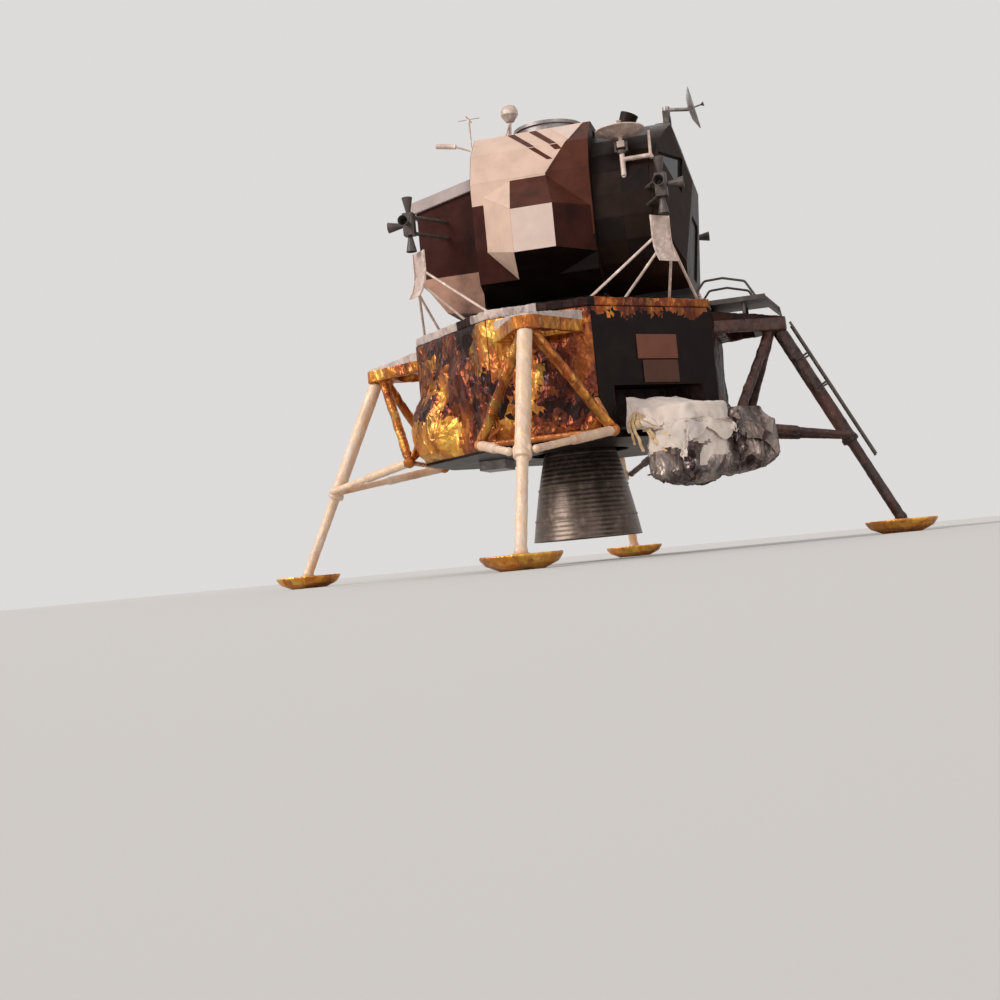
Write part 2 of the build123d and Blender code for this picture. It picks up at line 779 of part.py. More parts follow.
def ladder():
    """Two rails and rungs that stand off the front strut."""
    start = Vector(*STRUT_TOP)
    run = (Vector(*STRUT_FOOT) - start).normalized()
    offset = Vector(0, run.Z, -run.Y) * LADDER_STAND_OFF
    top = start + offset
    first = top + run * LADDER_TOP_RUN
    bottom = top + run * ((RUNG_COUNT - 1) * RUNG_PITCH + 2 * LADDER_TOP_RUN)
    pieces = []
    for side in SIDES:
        aside = Vector(side * LADDER_HALF, 0, 0)
        pieces.append(tube(top + aside, bottom + aside, LADDER_RAIL_R))
        for step in LADDER_ARM_RUNGS:
            at = start + run * (LADDER_TOP_RUN + RUNG_PITCH * (step + 0.5))
            near = at + Vector(side * STRUT_OUTER_R, 0, 0)
            pieces.append(tube(near, at + offset + aside, RUNG_R))
    aside = Vector(LADDER_HALF, 0, 0)
    for step in range(RUNG_COUNT):
        at = first + run * (RUNG_PITCH * step)
        pieces.append(tube(at - aside, at + aside, RUNG_R))
    return join(pieces) - strut_space()


def beam_half(out):
    """Half width of the outrigger's beam at a distance from the stage's face."""
    return BEAM_ROOT_HALF - (BEAM_ROOT_HALF - BEAM_TIP_HALF) * out / (APEX_OUT + BEAM_TIP_OVER)


def beam_top(out):
    """Level of the outrigger's upper face at a distance from the stage's face."""
    share = out / (APEX_OUT + BEAM_TIP_OVER)
    root = STAGE_TOP - BEAM_TOP_DROP
    return root + (APEX_Z + APEX_BLOCK / 2 - root) * share


def porch():
    """Egress platform with raised ribs, a sloping lip, bent hand rails and posts."""
    half = PORCH_HALF
    inner = -STAGE_R + PORCH_OVER_DECK
    outer = inner - PORCH_LONG
    low = STAGE_TOP + PORCH_ABOVE_TOP
    top = low + PORCH_THICK
    pieces = [block((-half, outer, low), (half, inner, top))]
    pitch = (2 * half - PORCH_RIB_WIDE) / (PORCH_RIBS - 1)
    for rib in range(PORCH_RIBS):
        left = -half + rib * pitch
        pieces.append(block((left, outer, top), (left + PORCH_RIB_WIDE, inner, top + PORCH_RIB_HIGH)))
    lip = (
        (outer, top), (outer, low), (outer - PORCH_LIP_OUT, top - PORCH_LIP_DROP),
        (outer - PORCH_LIP_OUT - PORCH_LIP_THICK, top - PORCH_LIP_DROP),
    )
    pieces.append(prism(Plane(origin=(-half, 0, 0), x_dir=(0, 1, 0), z_dir=(1, 0, 0)), lip, 2 * half))
    for side in SIDES:
        x = side * (half - RAIL_R)
        rail = [(x, inner - along, low + up) for along, up in RAIL_PATH]
        pieces.append(bent_tube(rail, RAIL_BEND, RAIL_R))
        post_x = side * PORCH_POST_HALF
        near = inner - PORCH_POST_IN
        pieces.append(tube((post_x, near, STAGE_TOP), (post_x, near, low), PORCH_POST_R))
        far = inner - PORCH_POST_OUT
        foot = beam_top(-STAGE_R - far)
        far_x = side * (beam_half(-STAGE_R - far) - BEAM_WALL)
        post = tube((far_x, far, foot - PORCH_POST_R), (far_x, far, low), PORCH_POST_R)
        pieces.append(trimmed(post, [((0, far, foot + SKIN_GAP), (0, beam_top(0) - beam_top(1), -1))]))
    return join(pieces)


def deflector_skin(frame, level):
    """Ski-jump profile of a deflector between two sideways stations."""
    outer = [(w, RIM_TOP + up) for w, up in DEFLECTOR_PATH]
    inner = [(w - DEFLECTOR_THICK, z) for w, z in reversed(outer)]
    origin = frame.from_local_coords(Vector(level[0], 0, 0))
    plane = Plane(origin=origin, x_dir=frame.z_dir, z_dir=frame.x_dir)
    flip = [(w, -z) for w, z in outer + inner]
    return prism(plane, flip, level[1] - level[0])


def plume_deflectors():
    """Curved plates on struts below the thruster clusters' down-firing nozzles."""
    pieces = []
    half = DEFLECTOR_HALF
    above_rim = block((-FAR, -FAR, RIM_TOP), (FAR, FAR, FAR))
    for _, right, front in QUADS:
        frame = quad_frame(right, front)
        parts = [deflector_skin(frame, (-half, half))]
        for low in (-half, half - DEFLECTOR_THICK):
            lip = deflector_skin(frame, (low, low + DEFLECTOR_THICK))
            parts.append(lip.translate(frame.z_dir * (DEFLECTOR_THICK - 2)))
            parts.append(lip.translate(frame.z_dir * (2 * DEFLECTOR_THICK - 4)))
        for foot_aside, foot_in, head_aside, head_out, head_up in DEFLECTOR_STRUTS:
            for side in SIDES:
                foot = frame.from_local_coords(Vector(side * foot_aside, RIM_TOP, -foot_in))
                head = frame.from_local_coords(Vector(side * head_aside, RIM_TOP + head_up, head_out))
                parts.append(tube(foot, head, DEFLECTOR_STRUT_R))
        pieces.append(common(join(parts), above_rim))
    return pieces


# Descent engine

def gimbal_ring():
    half = GIMBAL_RING_HIGH / 2
    ring = tube((0, 0, GIMBAL_Z - half), (0, 0, GIMBAL_Z + half), GIMBAL_RING_OUT)
    ring -= tube((0, 0, GIMBAL_Z - 2 * half), (0, 0, GIMBAL_Z + 2 * half), GIMBAL_RING_IN)
    pins = []
    for side in SIDES:
        near = side * (GIMBAL_RING_OUT - 20)
        pins.append(tube((near, 0, GIMBAL_Z), (side * (ENGINE_BAY_HALF - 8), 0, GIMBAL_Z), GIMBAL_PIN_R))
        near = side * (GIMBAL_RING_IN + 20)
        pins.append(tube((0, near, GIMBAL_Z), (0, side * (CHAMBER_R + 22), GIMBAL_Z), GIMBAL_PIN_R))
    return join([ring] + pins)


def bell_radius(z):
    """Outside of the bell at a level: a parabola from throat to mouth."""
    share = (THROAT_Z - z) / (THROAT_Z - BELL_EXIT_Z)
    return THROAT_R + (BELL_EXIT_R - THROAT_R) * sqrt(share)


def engine_bell():
    """Thrust chamber with its trunnion bosses, and the ringed bell below the throat."""
    step = (THROAT_Z - BELL_EXIT_Z) / BELL_STEPS
    levels = [THROAT_Z - step * k for k in range(BELL_STEPS + 1)]
    outer = [(bell_radius(z), z) for z in levels]
    inner = [(r - BELL_WALL, z) for r, z in reversed(outer)]
    profile = [(0, CHAMBER_TOP), (CHAMBER_R, CHAMBER_TOP), (CHAMBER_R, THROAT_Z + 130)]
    profile += [(THROAT_R + 30, THROAT_Z + 20)] + outer + inner + [(0, THROAT_Z + 40)]
    body = turned(profile)
    for z in BELL_RING_AT:
        near = bell_radius(z) - BELL_WALL / 2
        far = bell_radius(z) + BELL_RING_OUT
        low = z - BELL_RING_HALF
        high = z + BELL_RING_HALF
        body += turned(((near, low), (far, low), (far, high), (near, high)))
    for side in SIDES:
        boss = tube((0, side * (CHAMBER_R - 30), GIMBAL_Z), (0, side * (CHAMBER_R + 70), GIMBAL_Z), TRUNNION_R)
        pin_room = tube((0, side * (CHAMBER_R + 15), GIMBAL_Z), (0, side * (CHAMBER_R + 80), GIMBAL_Z),
                        GIMBAL_PIN_R + SKIN_GAP)
        body += boss - pin_room
    return body


# Crew cabin

def cabin_form(inset):
    """The cabin's outside, or its inside when inset is the wall."""
    body = tube((0, CABIN_BACK_Y, CABIN_Z), (0, NOSE_Y + inset, CABIN_Z), CABIN_R - inset)
    face_y = NOSE_Y + FACE_SETBACK + inset
    nose = NOSE_HALF - inset * CHEEK_SLANT
    planes = [
        ((0, face_y, CABIN_Z - FACE_BELOW), (0, -1, -FACE_LEAN)),
        ((0, NOSE_Y + inset, CABIN_Z + BROW_ABOVE), (0, -1, BROW_LEAN)),
        ((0, 0, ASCENT_FLOOR - CABIN_BELLY + inset), (0, 0, -1)),
        ((0, 0, CABIN_ROOF_Z - inset), (0, 0, 1)),
    ]
    for side in SIDES:
        planes.append(((side * nose, NOSE_Y + inset, CABIN_Z), (side * CHEEK_SLANT, -1, CHEEK_LEAN)))
    return trimmed(body, planes)


def cabin_part(low_y, high_y):
    """Wall and floor of the cabin between two stations."""
    room = block((-FAR, low_y, 0), (FAR, high_y, FAR))
    inside = common(cabin_form(CABIN_WALL), room)
    floor_top = ASCENT_FLOOR - CABIN_BELLY + CABIN_FLOOR_THICK
    floor = common(inside, block((-FAR, -FAR, 0), (FAR, FAR, floor_top)))
    return (common(cabin_form(0), room) - inside).fuse(floor)


def roof_window():
    """Opening of the docking window over the commander's side."""
    return block((ROOF_WINDOW_X[0], ROOF_WINDOW_Y[0], CABIN_Z), (ROOF_WINDOW_X[1], ROOF_WINDOW_Y[1], FAR))


def window_cutters():
    """Triangular openings, square to the cheek planes, and the roof window."""
    pieces = [roof_window()]
    up = WINDOW_UP
    for side in SIDES:
        normal = Vector(side * CHEEK_SLANT, -1, CHEEK_LEAN).normalized()
        aside = WINDOW_ASIDE - NOSE_HALF
        centre = Vector(side * WINDOW_ASIDE, NOSE_Y + aside * CHEEK_SLANT, CABIN_Z + WINDOW_RISE)
        plane = Plane(origin=centre - normal * CABIN_R / 3, x_dir=Vector(0, 0, 1).cross(normal), z_dir=normal)
        points = [(side * WINDOW_HALF, up), (-side * WINDOW_HALF, up), (-side * WINDOW_TIP, -WINDOW_DOWN)]
        if side < 0:
            points.reverse()
        pieces.append(prism(plane, points, CABIN_R))
    return pieces


def cabin_shell():
    """Round cabin wall behind the front face, with its floor."""
    return cabin_part(CABIN_SPLIT_Y, CABIN_BACK_Y) - roof_window()


def hatch_opening(gap, low_y, high_y):
    """Square opening of the forward hatch with rounded corners."""
    half = HATCH_HALF + gap
    bottom = ASCENT_FLOOR + HATCH_SILL
    body = block((-half, low_y, bottom - gap), (half, high_y, bottom + HATCH_HIGH + gap))
    return body.fillet(HATCH_CORNER_R + gap, body.edges().filter_by(Axis.Y))


def forward_hinge_frame():
    """Frame on the forward hatch's hinge axis: X to the crew's left, Y inward, Z up the leaning face."""
    height = ASCENT_FLOOR + HATCH_SILL + HATCH_HIGH / 2
    below_face = CABIN_Z - FACE_BELOW - height
    inner_y = NOSE_Y + FACE_SETBACK + CABIN_WALL + FACE_LEAN * below_face
    origin = (-HATCH_HALF + FORWARD_HINGE_INSET, inner_y + FORWARD_HINGE_STAND, height)
    return Plane(origin=origin, x_dir=(1, 0, 0), z_dir=(0, -FACE_LEAN, 1))


def forward_hinge(side):
    """Hinge barrels of the hatch (side 1) or of the wall beside it (side -1)."""
    starts = FORWARD_HINGE_STARTS if side > 0 else beside(FORWARD_HINGE_STARTS)
    stand = FORWARD_HINGE_STAND
    webs = []
    for reach, low, high in ((FORWARD_HINGE_LEAF, -stand - 4, -stand + 12), (HINGE_R, -stand + 3, 0)):
        webs.append((tuple(sorted((0, side * reach))), (low, high)))
    return hinge_half(forward_hinge_frame(), starts, webs)


def cabin_front():
    """Faceted face with the hatch opening and two triangular windows."""
    body = cabin_part(-FAR, CABIN_SPLIT_Y) - hatch_opening(0, -FAR, CABIN_SPLIT_Y - 10)
    for cutter in window_cutters():
        body -= cutter
    return join([body] + forward_hinge(-1))


def window_glass():
    pane = cabin_form(GLASS_OUT) - cabin_form(GLASS_OUT + GLASS_THICK)
    return [common(pane, cutter) for cutter in window_cutters()]


def forward_hatch():
    body = hatch_opening(-MOVE_GAP / 2, -FAR, CABIN_SPLIT_Y)
    skin = cabin_form(CABIN_WALL - HATCH_THICK) - cabin_form(CABIN_WALL)
    return join([common(body, skin)] + forward_hinge(1))


# Middle bay, tanks and aft bay

def midsection_form():
    half = tuple((x, ASCENT_FLOOR + up) for x, up in MID_SECTION)
    points = half + tuple((-a, b) for a, b in reversed(half))
    plane = Plane(origin=(0, CABIN_BACK_Y, 0), x_dir=(1, 0, 0), z_dir=(0, -1, 0))
    return prism(plane, points, -MID_LONG)


def top_hinge(fixed):
    """Barrels of the overhead hatch's hinge: X aft, Y up, Z along the axis."""
    origin = (0, TOP_HATCH_R + TOP_HINGE_DROP, MID_ROOF_Z - MID_SKIN - TOP_HINGE_DROP)
    frame = Plane(origin=origin, x_dir=(0, 1, 0), z_dir=(1, 0, 0))
    middle = -HINGE_LONG / 2
    if fixed:
        starts = (middle - HINGE_LONG - SKIN_GAP, middle + HINGE_LONG + SKIN_GAP)
        return hinge_half(frame, starts, [((-HINGE_R / 2, HINGE_R), (0, TOP_HINGE_DROP))])
    return hinge_half(frame, (middle,), [((-2 * TOP_HINGE_DROP, 0), (-HINGE_R, HINGE_R / 2))])


def midsection():
    """Middle bay between cabin and aft equipment, open to the cabin."""
    half = MID_INNER_HALF
    floor = ASCENT_FLOOR + MID_INNER_RISE
    roof = MID_ROOF_Z - MID_SKIN
    body = midsection_form()
    body -= block((-half, CABIN_BACK_Y - 1, floor), (half, MID_BACK_Y - MID_SKIN, roof))
    body -= tube((0, 0, roof - 1), (0, 0, MID_ROOF_Z + 1), TUNNEL_CLEAR_R)
    body -= tube((0, 0, ASCENT_FLOOR - 1), (0, 0, floor + 1), CHAMBER_UP_R + SKIN_GAP)
    return join([body] + top_hinge(True))


def docking_tunnel():
    outer = TUNNEL_CLEAR_R + TUNNEL_WALL
    body = join([
        tube((0, 0, MID_ROOF_Z), (0, 0, TUNNEL_TOP), outer),
        tube((0, 0, MID_ROOF_Z), (0, 0, MID_ROOF_Z + TUNNEL_FLANGE_THICK), TUNNEL_FLANGE_R),
        tube((0, 0, TUNNEL_TOP - TUNNEL_LIP_HIGH), (0, 0, TUNNEL_TOP), outer + TUNNEL_LIP),
    ])
    return body - tube((0, 0, MID_ROOF_Z - 1), (0, 0, TUNNEL_TOP + 1), TUNNEL_CLEAR_R)


def overhead_hatch():
    top = MID_ROOF_Z - MID_SKIN - SKIN_GAP
    return join([tube((0, 0, top - TOP_HATCH_THICK), (0, 0, top), TOP_HATCH_R)] + top_hinge(False))


def ascent_engine():
    """Engine and its round cover in the middle bay, as one plain block."""
    floor = ASCENT_FLOOR + MID_INNER_RISE
    return join([
        tube((0, 0, floor), (0, 0, floor + COVER_HIGH), COVER_R),
        tube((0, 0, ASCENT_FLOOR), (0, 0, floor), CHAMBER_UP_R),
        cone((0, 0, ASCENT_FLOOR), (0, 0, STAGE_TOP + NOZZLE_OVER_DECK), NOZZLE_TOP_R, NOZZLE_END_R),
    ])


def tank_fairing(side):
    """Faceted tank cover: a flat outer face and slanting facets back to the bay's wall."""
    out, (y_front, y_rear, low, high) = FAIRINGS[side]
    wall = MID_WALL_X
    face = wall + out
    floor = ASCENT_FLOOR
    ridge = floor + FAIRING_RIDGE
    knee, knee_up = MID_SECTION[1]
    inside = (wall, 0, floor + (low + high) / 2)
    planes = [
        ((face, 0, 0), (1, 0, 0)),
        facet((face, y_front, floor + high), (face, y_rear, floor + high), (wall, 0, ridge), inside),
        facet((face, y_front, floor + low), (face, y_rear, floor + low), (knee, 0, floor + knee_up), inside),
    ]
    for y_face, (y_foot, foot_low, foot_high, y_ridge, y_knee) in zip((y_front, y_rear), FAIRING_FEET):
        low_edge = (face, y_face, floor + low)
        high_edge = (face, y_face, floor + high)
        low_foot = (wall, y_foot, floor + foot_low)
        planes.append(facet(low_edge, high_edge, low_foot, inside))
        planes.append(facet(high_edge, (wall, y_foot, floor + foot_high), (wall, y_ridge, ridge), inside))
        planes.append(facet(low_edge, low_foot, (knee, y_knee, floor + knee_up), inside))
    start = block((MID_INNER_HALF, CABIN_BACK_Y, floor), (face + 1, MID_BACK_Y, floor + MID_SECTION[3][1]))
    body = trimmed(start, planes) - midsection_form()
    return mirror_x(body) if side == "right" else body


def aft_section(points, half):
    """Extrusion across the aft bay of points measured from its front lower corner."""
    placed = tuple((MID_BACK_Y + back, ASCENT_FLOOR + up) for back, up in points)
    return prism(Plane(origin=(-half, 0, 0), x_dir=(0, 1, 0), z_dir=(1, 0, 0)), placed, 2 * half)


def aft_bay():
    return aft_section(AFT_SECTION, AFT_HALF)


def aft_roof():
    """Slab that overhangs the aft bay."""
    back, low = AFT_SECTION[4]
    front, high = AFT_SECTION[5]
    fall = (high - low) / (back - front)
    over = back + AFT_ROOF_OVER
    over_low = low - fall * AFT_ROOF_OVER
    points = (
        (front, high), (back, low), (over, over_low), (over, over_low + AFT_ROOF_THICK),
        (front, high + AFT_ROOF_THICK),
    )
    return aft_section(points, AFT_HALF + AFT_ROOF_SIDE)


# Thrusters

def thruster(root, way):
    """Hollow bell from its root along a direction."""
    end = root + way * RCS_NOZZLE_LONG
    bell = cone(root, end, RCS_NOZZLE_THROAT_R, RCS_NOZZLE_EXIT_R)
    mouth_start = end - way * RCS_NOZZLE_HOLLOW
    share = 1 - RCS_NOZZLE_HOLLOW / RCS_NOZZLE_LONG
    radius = RCS_NOZZLE_THROAT_R + (RCS_NOZZLE_EXIT_R - RCS_NOZZLE_THROAT_R) * share
    hollow = cone(mouth_start, end + way, radius - RCS_NOZZLE_WALL, RCS_NOZZLE_EXIT_R - RCS_NOZZLE_WALL)
    return bell - hollow


def rcs_cluster(right, front):
    """Thruster housing with four nozzles and its struts back to the stage."""
    centre = Vector(-right * RCS_AT, -front * RCS_AT, RCS_Z)
    half = RCS_BOX / 2
    size = Vector(half, half, RCS_BOX)
    housing = block(tuple(centre - size), tuple(centre + size))
    housing = housing.chamfer(half / 4, None, housing.edges().filter_by(Axis.Z))
    pieces = [housing]
    for way, reach in (
        (Vector(0, 0, 1), RCS_BOX),
        (Vector(0, 0, -1), RCS_BOX),
        (Vector(0, -front, 0), half),
        (Vector(-right, 0, 0), half),
    ):
        pieces.append(thruster(centre + way * (reach - 10), way))
    wall_x, wall_y = RCS_FRONT_WALL if front > 0 else RCS_REAR_WALL
    for up in (-RCS_STRUT_SPREAD, RCS_STRUT_SPREAD):
        inner = Vector(-right * wall_x, wall_y, RCS_Z + up)
        pieces.append(tube(centre + Vector(0, 0, up), inner, RCS_STRUT_R))
    body = join(pieces)
    return body - (cabin_form(0) if front > 0 else aft_bay())


# Antennas and their mounts

RADAR_Z = CABIN_ROOF_Z + RADAR_RISE
SBAND_Z = CABIN_Z + SBAND_RISE
SBAND_AXLE_Z = SBAND_Z + SBAND_AXLE_RISE


def dish(radius, deep, centre, way):
    """Shallow bowl that opens along a direction."""
    middle = radius / 2
    low = deep * 0.22
    profile = (
        (0, 0), (middle, low), (radius, deep), (radius - 4, deep + DISH_SKIN),
        (middle - 2, low + DISH_SKIN), (0, DISH_SKIN),
    )
    return Plane(origin=centre, z_dir=way).location * turned(profile)


def radar_bracket():
    """Foot plate and two ears with the axle's bores."""
    foot = block((-190, RADAR_Y - 40, CABIN_ROOF_Z), (190, RADAR_Y + 150, CABIN_ROOF_Z + 22))
    pieces = [foot]
    for side in SIDES:
        near = side * RADAR_EAR_AT - RADAR_EAR_THICK / 2
        far = near + RADAR_EAR_THICK
        ear = block((near, RADAR_Y - RADAR_EAR_HALF, CABIN_ROOF_Z + 10), (far, RADAR_Y + RADAR_EAR_HALF, RADAR_Z + 45))
        pieces.append(ear - tube((near - 1, RADAR_Y, RADAR_Z), (far + 1, RADAR_Y, RADAR_Z), RADAR_AXLE_R + SKIN_GAP))
    return join(pieces)


def radar_yoke():
    reach = RADAR_EAR_AT + RADAR_EAR_THICK / 2 - 3
    axle = tube((-reach, RADAR_Y, RADAR_Z), (reach, RADAR_Y, RADAR_Z), RADAR_AXLE_R)
    hub = block((-70, RADAR_Y - RADAR_HUB, RADAR_Z - RADAR_HUB), (70, RADAR_Y + RADAR_HUB, RADAR_Z + RADAR_HUB))
    post = tube((0, RADAR_Y, RADAR_Z), (0, RADAR_Y, RADAR_Z + RADAR_POST_HIGH), RADAR_POST_R)
    return join([axle, hub, post])


def radar_antenna():
    """Dish that turns on the yoke's post."""
    low = RADAR_Z + RADAR_HUB + SKIN_GAP
    top = RADAR_Z + RADAR_POST_HIGH
    hub = tube((0, RADAR_Y, low), (0, RADAR_Y, top + 20), RADAR_CAP_R)
    hub -= tube((0, RADAR_Y, low - 1), (0, RADAR_Y, top + SKIN_GAP), RADAR_POST_R + SKIN_GAP)
    centre = Vector(0, RADAR_Y - RADAR_REACH, RADAR_Z + 60)
    way = Vector(0, -1, RADAR_TILT).normalized()
    bowl = dish(RADAR_DISH_R, RADAR_DISH_DEEP, centre, way)
    arm = tube((0, RADAR_Y - 40, RADAR_Z + 100), centre + way * 6, 26)
    feed = tube(centre, centre + way * FEED_LONG, FEED_R)
    horn = cone(centre + way * (FEED_LONG - 40), centre + way * FEED_LONG, FEED_R, 3 * FEED_R)
    return join([hub, arm, bowl, feed, horn])


def sband_boom():
    """Frame off the cabin's shoulder with the turntable's post and a front upright."""
    low_drop, high_drop = SBAND_ARM_DROPS
    post = tube((SBAND_X, SBAND_Y, SBAND_Z - low_drop), (SBAND_X, SBAND_Y, SBAND_Z), SBAND_POST_R)
    beam_z = SBAND_Z - high_drop
    front = (SBAND_X, SBAND_BEAM_FRONT)
    pieces = [
        post,
        tube((SBAND_X, SBAND_Y, beam_z), (*front, beam_z), SBAND_ARM_R),
        tube((*front, beam_z - SBAND_ARM_R), (*front, beam_z + SBAND_UPRIGHT_HIGH), SBAND_UPRIGHT_R),
    ]
    for drop in SBAND_ARM_DROPS:
        z = SBAND_Z - drop
        pieces.append(tube((SBAND_X, SBAND_Y, z), (SBAND_X / 2, SBAND_Y, z), SBAND_ARM_R))
    pieces.append(tube((*front, beam_z), (SBAND_X / 2, SBAND_BEAM_FRONT, beam_z), SBAND_ARM_R))
    outside = block((-FAR, -FAR, 0), (SBAND_X / 1.8, 0, FAR))
    return common(join(pieces), outside) - cabin_form(0)


def sband_yoke():
    """Turntable on the post with two ears for the dish's axle."""
    top = SBAND_Z + SBAND_TABLE_HIGH
    base = tube((SBAND_X, SBAND_Y, SBAND_Z), (SBAND_X, SBAND_Y, top), SBAND_TABLE_R)
    half = SBAND_EAR_HALF
    reach = SBAND_EAR_AT + SBAND_EAR_THICK / 2
    bridge = block((SBAND_X - half, SBAND_Y - reach, top - 20), (SBAND_X + half, SBAND_Y + reach, top))
    pieces = [base, bridge]
    for side in SIDES:
        near = SBAND_Y + side * SBAND_EAR_AT - SBAND_EAR_THICK / 2
        far = near + SBAND_EAR_THICK
        ear = block((SBAND_X - half, near, top - 10), (SBAND_X + half, far, SBAND_AXLE_Z + half))
        bore = tube((SBAND_X, near - 1, SBAND_AXLE_Z), (SBAND_X, far + 1, SBAND_AXLE_Z), SBAND_AXLE_R + SKIN_GAP)
        pieces.append(ear - bore)
    return join(pieces)


def sband_dish():
    reach = SBAND_EAR_AT + SBAND_EAR_THICK / 2 - 3
    z = SBAND_AXLE_Z
    axle = tube((SBAND_X, SBAND_Y - reach, z), (SBAND_X, SBAND_Y + reach, z), SBAND_AXLE_R)
    hub = block((SBAND_X - 40, SBAND_Y - 50, z - 40), (SBAND_X + 40, SBAND_Y + 50, z + 40))
    way = Vector(0, 0, 1)
    centre = Vector(SBAND_X, SBAND_Y, z + SBAND_DISH_OVER)
    bowl = dish(SBAND_DISH_R, SBAND_DISH_DEEP, centre, way)
    stem = tube((SBAND_X, SBAND_Y, z + 20), centre + way * 8, 28)
    feed = tube(centre, centre + way * FEED_LONG, FEED_R)
    horn = cone(centre + way * (FEED_LONG - 40), centre + way * FEED_LONG, FEED_R, 3 * FEED_R)
    return join([axle, hub, stem, bowl, feed, horn])


def antennas():
    """Fixed antennas on the roofs: a dome on a tripod, a mast with crossed bars and a tail rod."""
    neck = MID_ROOF_Z + DOME_RISE
    head = turned((
        (0, 0), (DOME_FOOT_R, 0), (DOME_R, DOME_R * 0.76), (DOME_R, DOME_R * 1.2),
        (DOME_R * 0.76, DOME_HIGH * 0.86), (DOME_R * 0.36, DOME_HIGH * 0.98), (0, DOME_HIGH),
    ))
    spread = DOME_LEG_SPREAD
    below = MID_ROOF_Z - spread / 3
    dome = join([
        tube((0, DOME_Y + 40, below), (0, DOME_Y, neck + 10), MAST_R * 1.5),
        tube((-spread, DOME_Y + spread, below), (0, DOME_Y, neck + 10), MAST_R),
        tube((spread, DOME_Y + spread, below), (0, DOME_Y, neck + 10), MAST_R),
        Pos(0, DOME_Y, neck) * head,
    ])
    dome -= block((-FAR, 0, 0), (FAR, MID_BACK_Y, MID_ROOF_Z))
    foot_z = ASCENT_FLOOR + AFT_SECTION[4][1]
    top = foot_z + MAST_HIGH
    bar = MAST_BAR_HALF
    mast = join([
        tube((0, MAST_Y, foot_z), (0, MAST_Y, top), MAST_R),
        tube((-bar, MAST_Y, top - 20), (bar, MAST_Y, top - 20), MAST_BAR_R),
        tube((0, MAST_Y - bar, top - 20), (0, MAST_Y + bar, top - 20), MAST_BAR_R),
    ])
    mast = mast - aft_roof() - aft_bay()
    near, far = TAIL_ANTENNA_Y
    near_z, far_z = (MID_ROOF_Z + rise for rise in TAIL_ANTENNA_RISE)
    tail = join([
        tube((0, TAIL_ANTENNA_FOOT_Y, MID_ROOF_Z - MAST_R), (0, near, near_z), MAST_R),
        tube((0, near - 20, near_z - 4), (0, far, far_z), TAIL_ANTENNA_R),
    ])
    tail -= midsection_form()
    return [dome, mast, tail]


def telescope_shade():
    """Sunshade cone of the alignment telescope, forward of the tunnel."""
    tilt = Vector(0, -SHADE_TILT, 1).normalized()
    foot = Vector(0, SHADE_Y, CABIN_ROOF_Z)
    body = cone(foot - tilt * SHADE_FOOT_R, foot + tilt * SHADE_LONG, SHADE_FOOT_R, SHADE_HEAD_R)
    return common(body, block((-FAR, -FAR, CABIN_ROOF_Z), (FAR, 0, FAR)))


# Tool pallet and kit bay door

PALLET_Z = STAGE_BOTTOM + MESA_POCKET_RISE


def mesa_pallet():
    """Tool pallet, lowered: its outer panel lies level at the pocket's floor."""
    z = PALLET_Z
    r = PALLET_HINGE_R
    half = PALLET_HALF
    rack = PALLET_RACK_HALF
    start = FRONT_RIGHT.from_local_coords(Vector(-half, z, r + SKIN_GAP))
    end = FRONT_RIGHT.from_local_coords(Vector(half, z, r + SKIN_GAP))
    pieces = [
        tube(start, end, r),
        quad_block(FRONT_RIGHT, (-half, half), (z - r, z + r), (r, r + PALLET_LONG)),
    ]
    for aside in (-rack, -PALLET_RACK_THICK / 2, rack - PALLET_RACK_THICK):
        level = (aside, aside + PALLET_RACK_THICK)
        pieces.append(quad_block(FRONT_RIGHT, level, (z, z + PALLET_RACK_HIGH), (PALLET_RACK_NEAR, PALLET_RACK_FAR)))
    out = (PALLET_RACK_FAR - PALLET_RACK_THICK, PALLET_RACK_FAR)
    pieces.append(quad_block(FRONT_RIGHT, (-rack, rack), (z, z + PALLET_RACK_HIGH), out))
    return join(pieces)


def mesa_bag():
    """Soft sample bag that sits on the pallet."""
    low = PALLET_Z + PALLET_HINGE_R + SKIN_GAP
    far = PALLET_RACK_FAR - PALLET_RACK_THICK - SKIN_GAP
    body = quad_block(FRONT_RIGHT, BAG_ASIDE, (low, low + BAG_HIGH), (BAG_OUT[0], min(BAG_OUT[1], far)))
    return body.fillet(BAG_ROUND, body.edges().sort_by(Axis.Z)[-4:])


def mesa_blankets():
    """Loose thermal blankets that hang in a bundle off the pallet."""
    top = PALLET_Z - PALLET_HINGE_R - SKIN_GAP
    pieces = []
    for aside, aside_to, out, out_to, drop, deep in BLANKET_HALVES:
        body = quad_block(FRONT_RIGHT, (aside, aside_to), (top - drop - deep, top - drop), (out, out_to))
        pieces.append(body.chamfer(BLANKET_ROUND, None, body.edges().sort_by(Axis.Z)[:4]))
    return pieces


def kit_bay_door():
    lap = KIT_DOOR_LAP
    level = (KIT_BAY_SHIFT - KIT_BAY_HALF - lap, KIT_BAY_SHIFT + KIT_BAY_HALF + lap)
    floor = STAGE_BOTTOM + KIT_BAY_RISE
    up = (floor - lap, floor + KIT_BAY_HIGH + lap)
    door = join([quad_block(REAR_LEFT, level, up, (SKIN_GAP, KIT_DOOR_THICK))] + kit_hinge(False))
    frame = kit_hinge_frame()
    for start in beside(KIT_HINGE_STARTS):
        foot = frame.from_local_coords(Vector(0, 0, start - SKIN_GAP))
        head = frame.from_local_coords(Vector(0, 0, start + HINGE_LONG + HINGE_R))
        door -= tube(foot, head, 1.5 * HINGE_R)
    return door


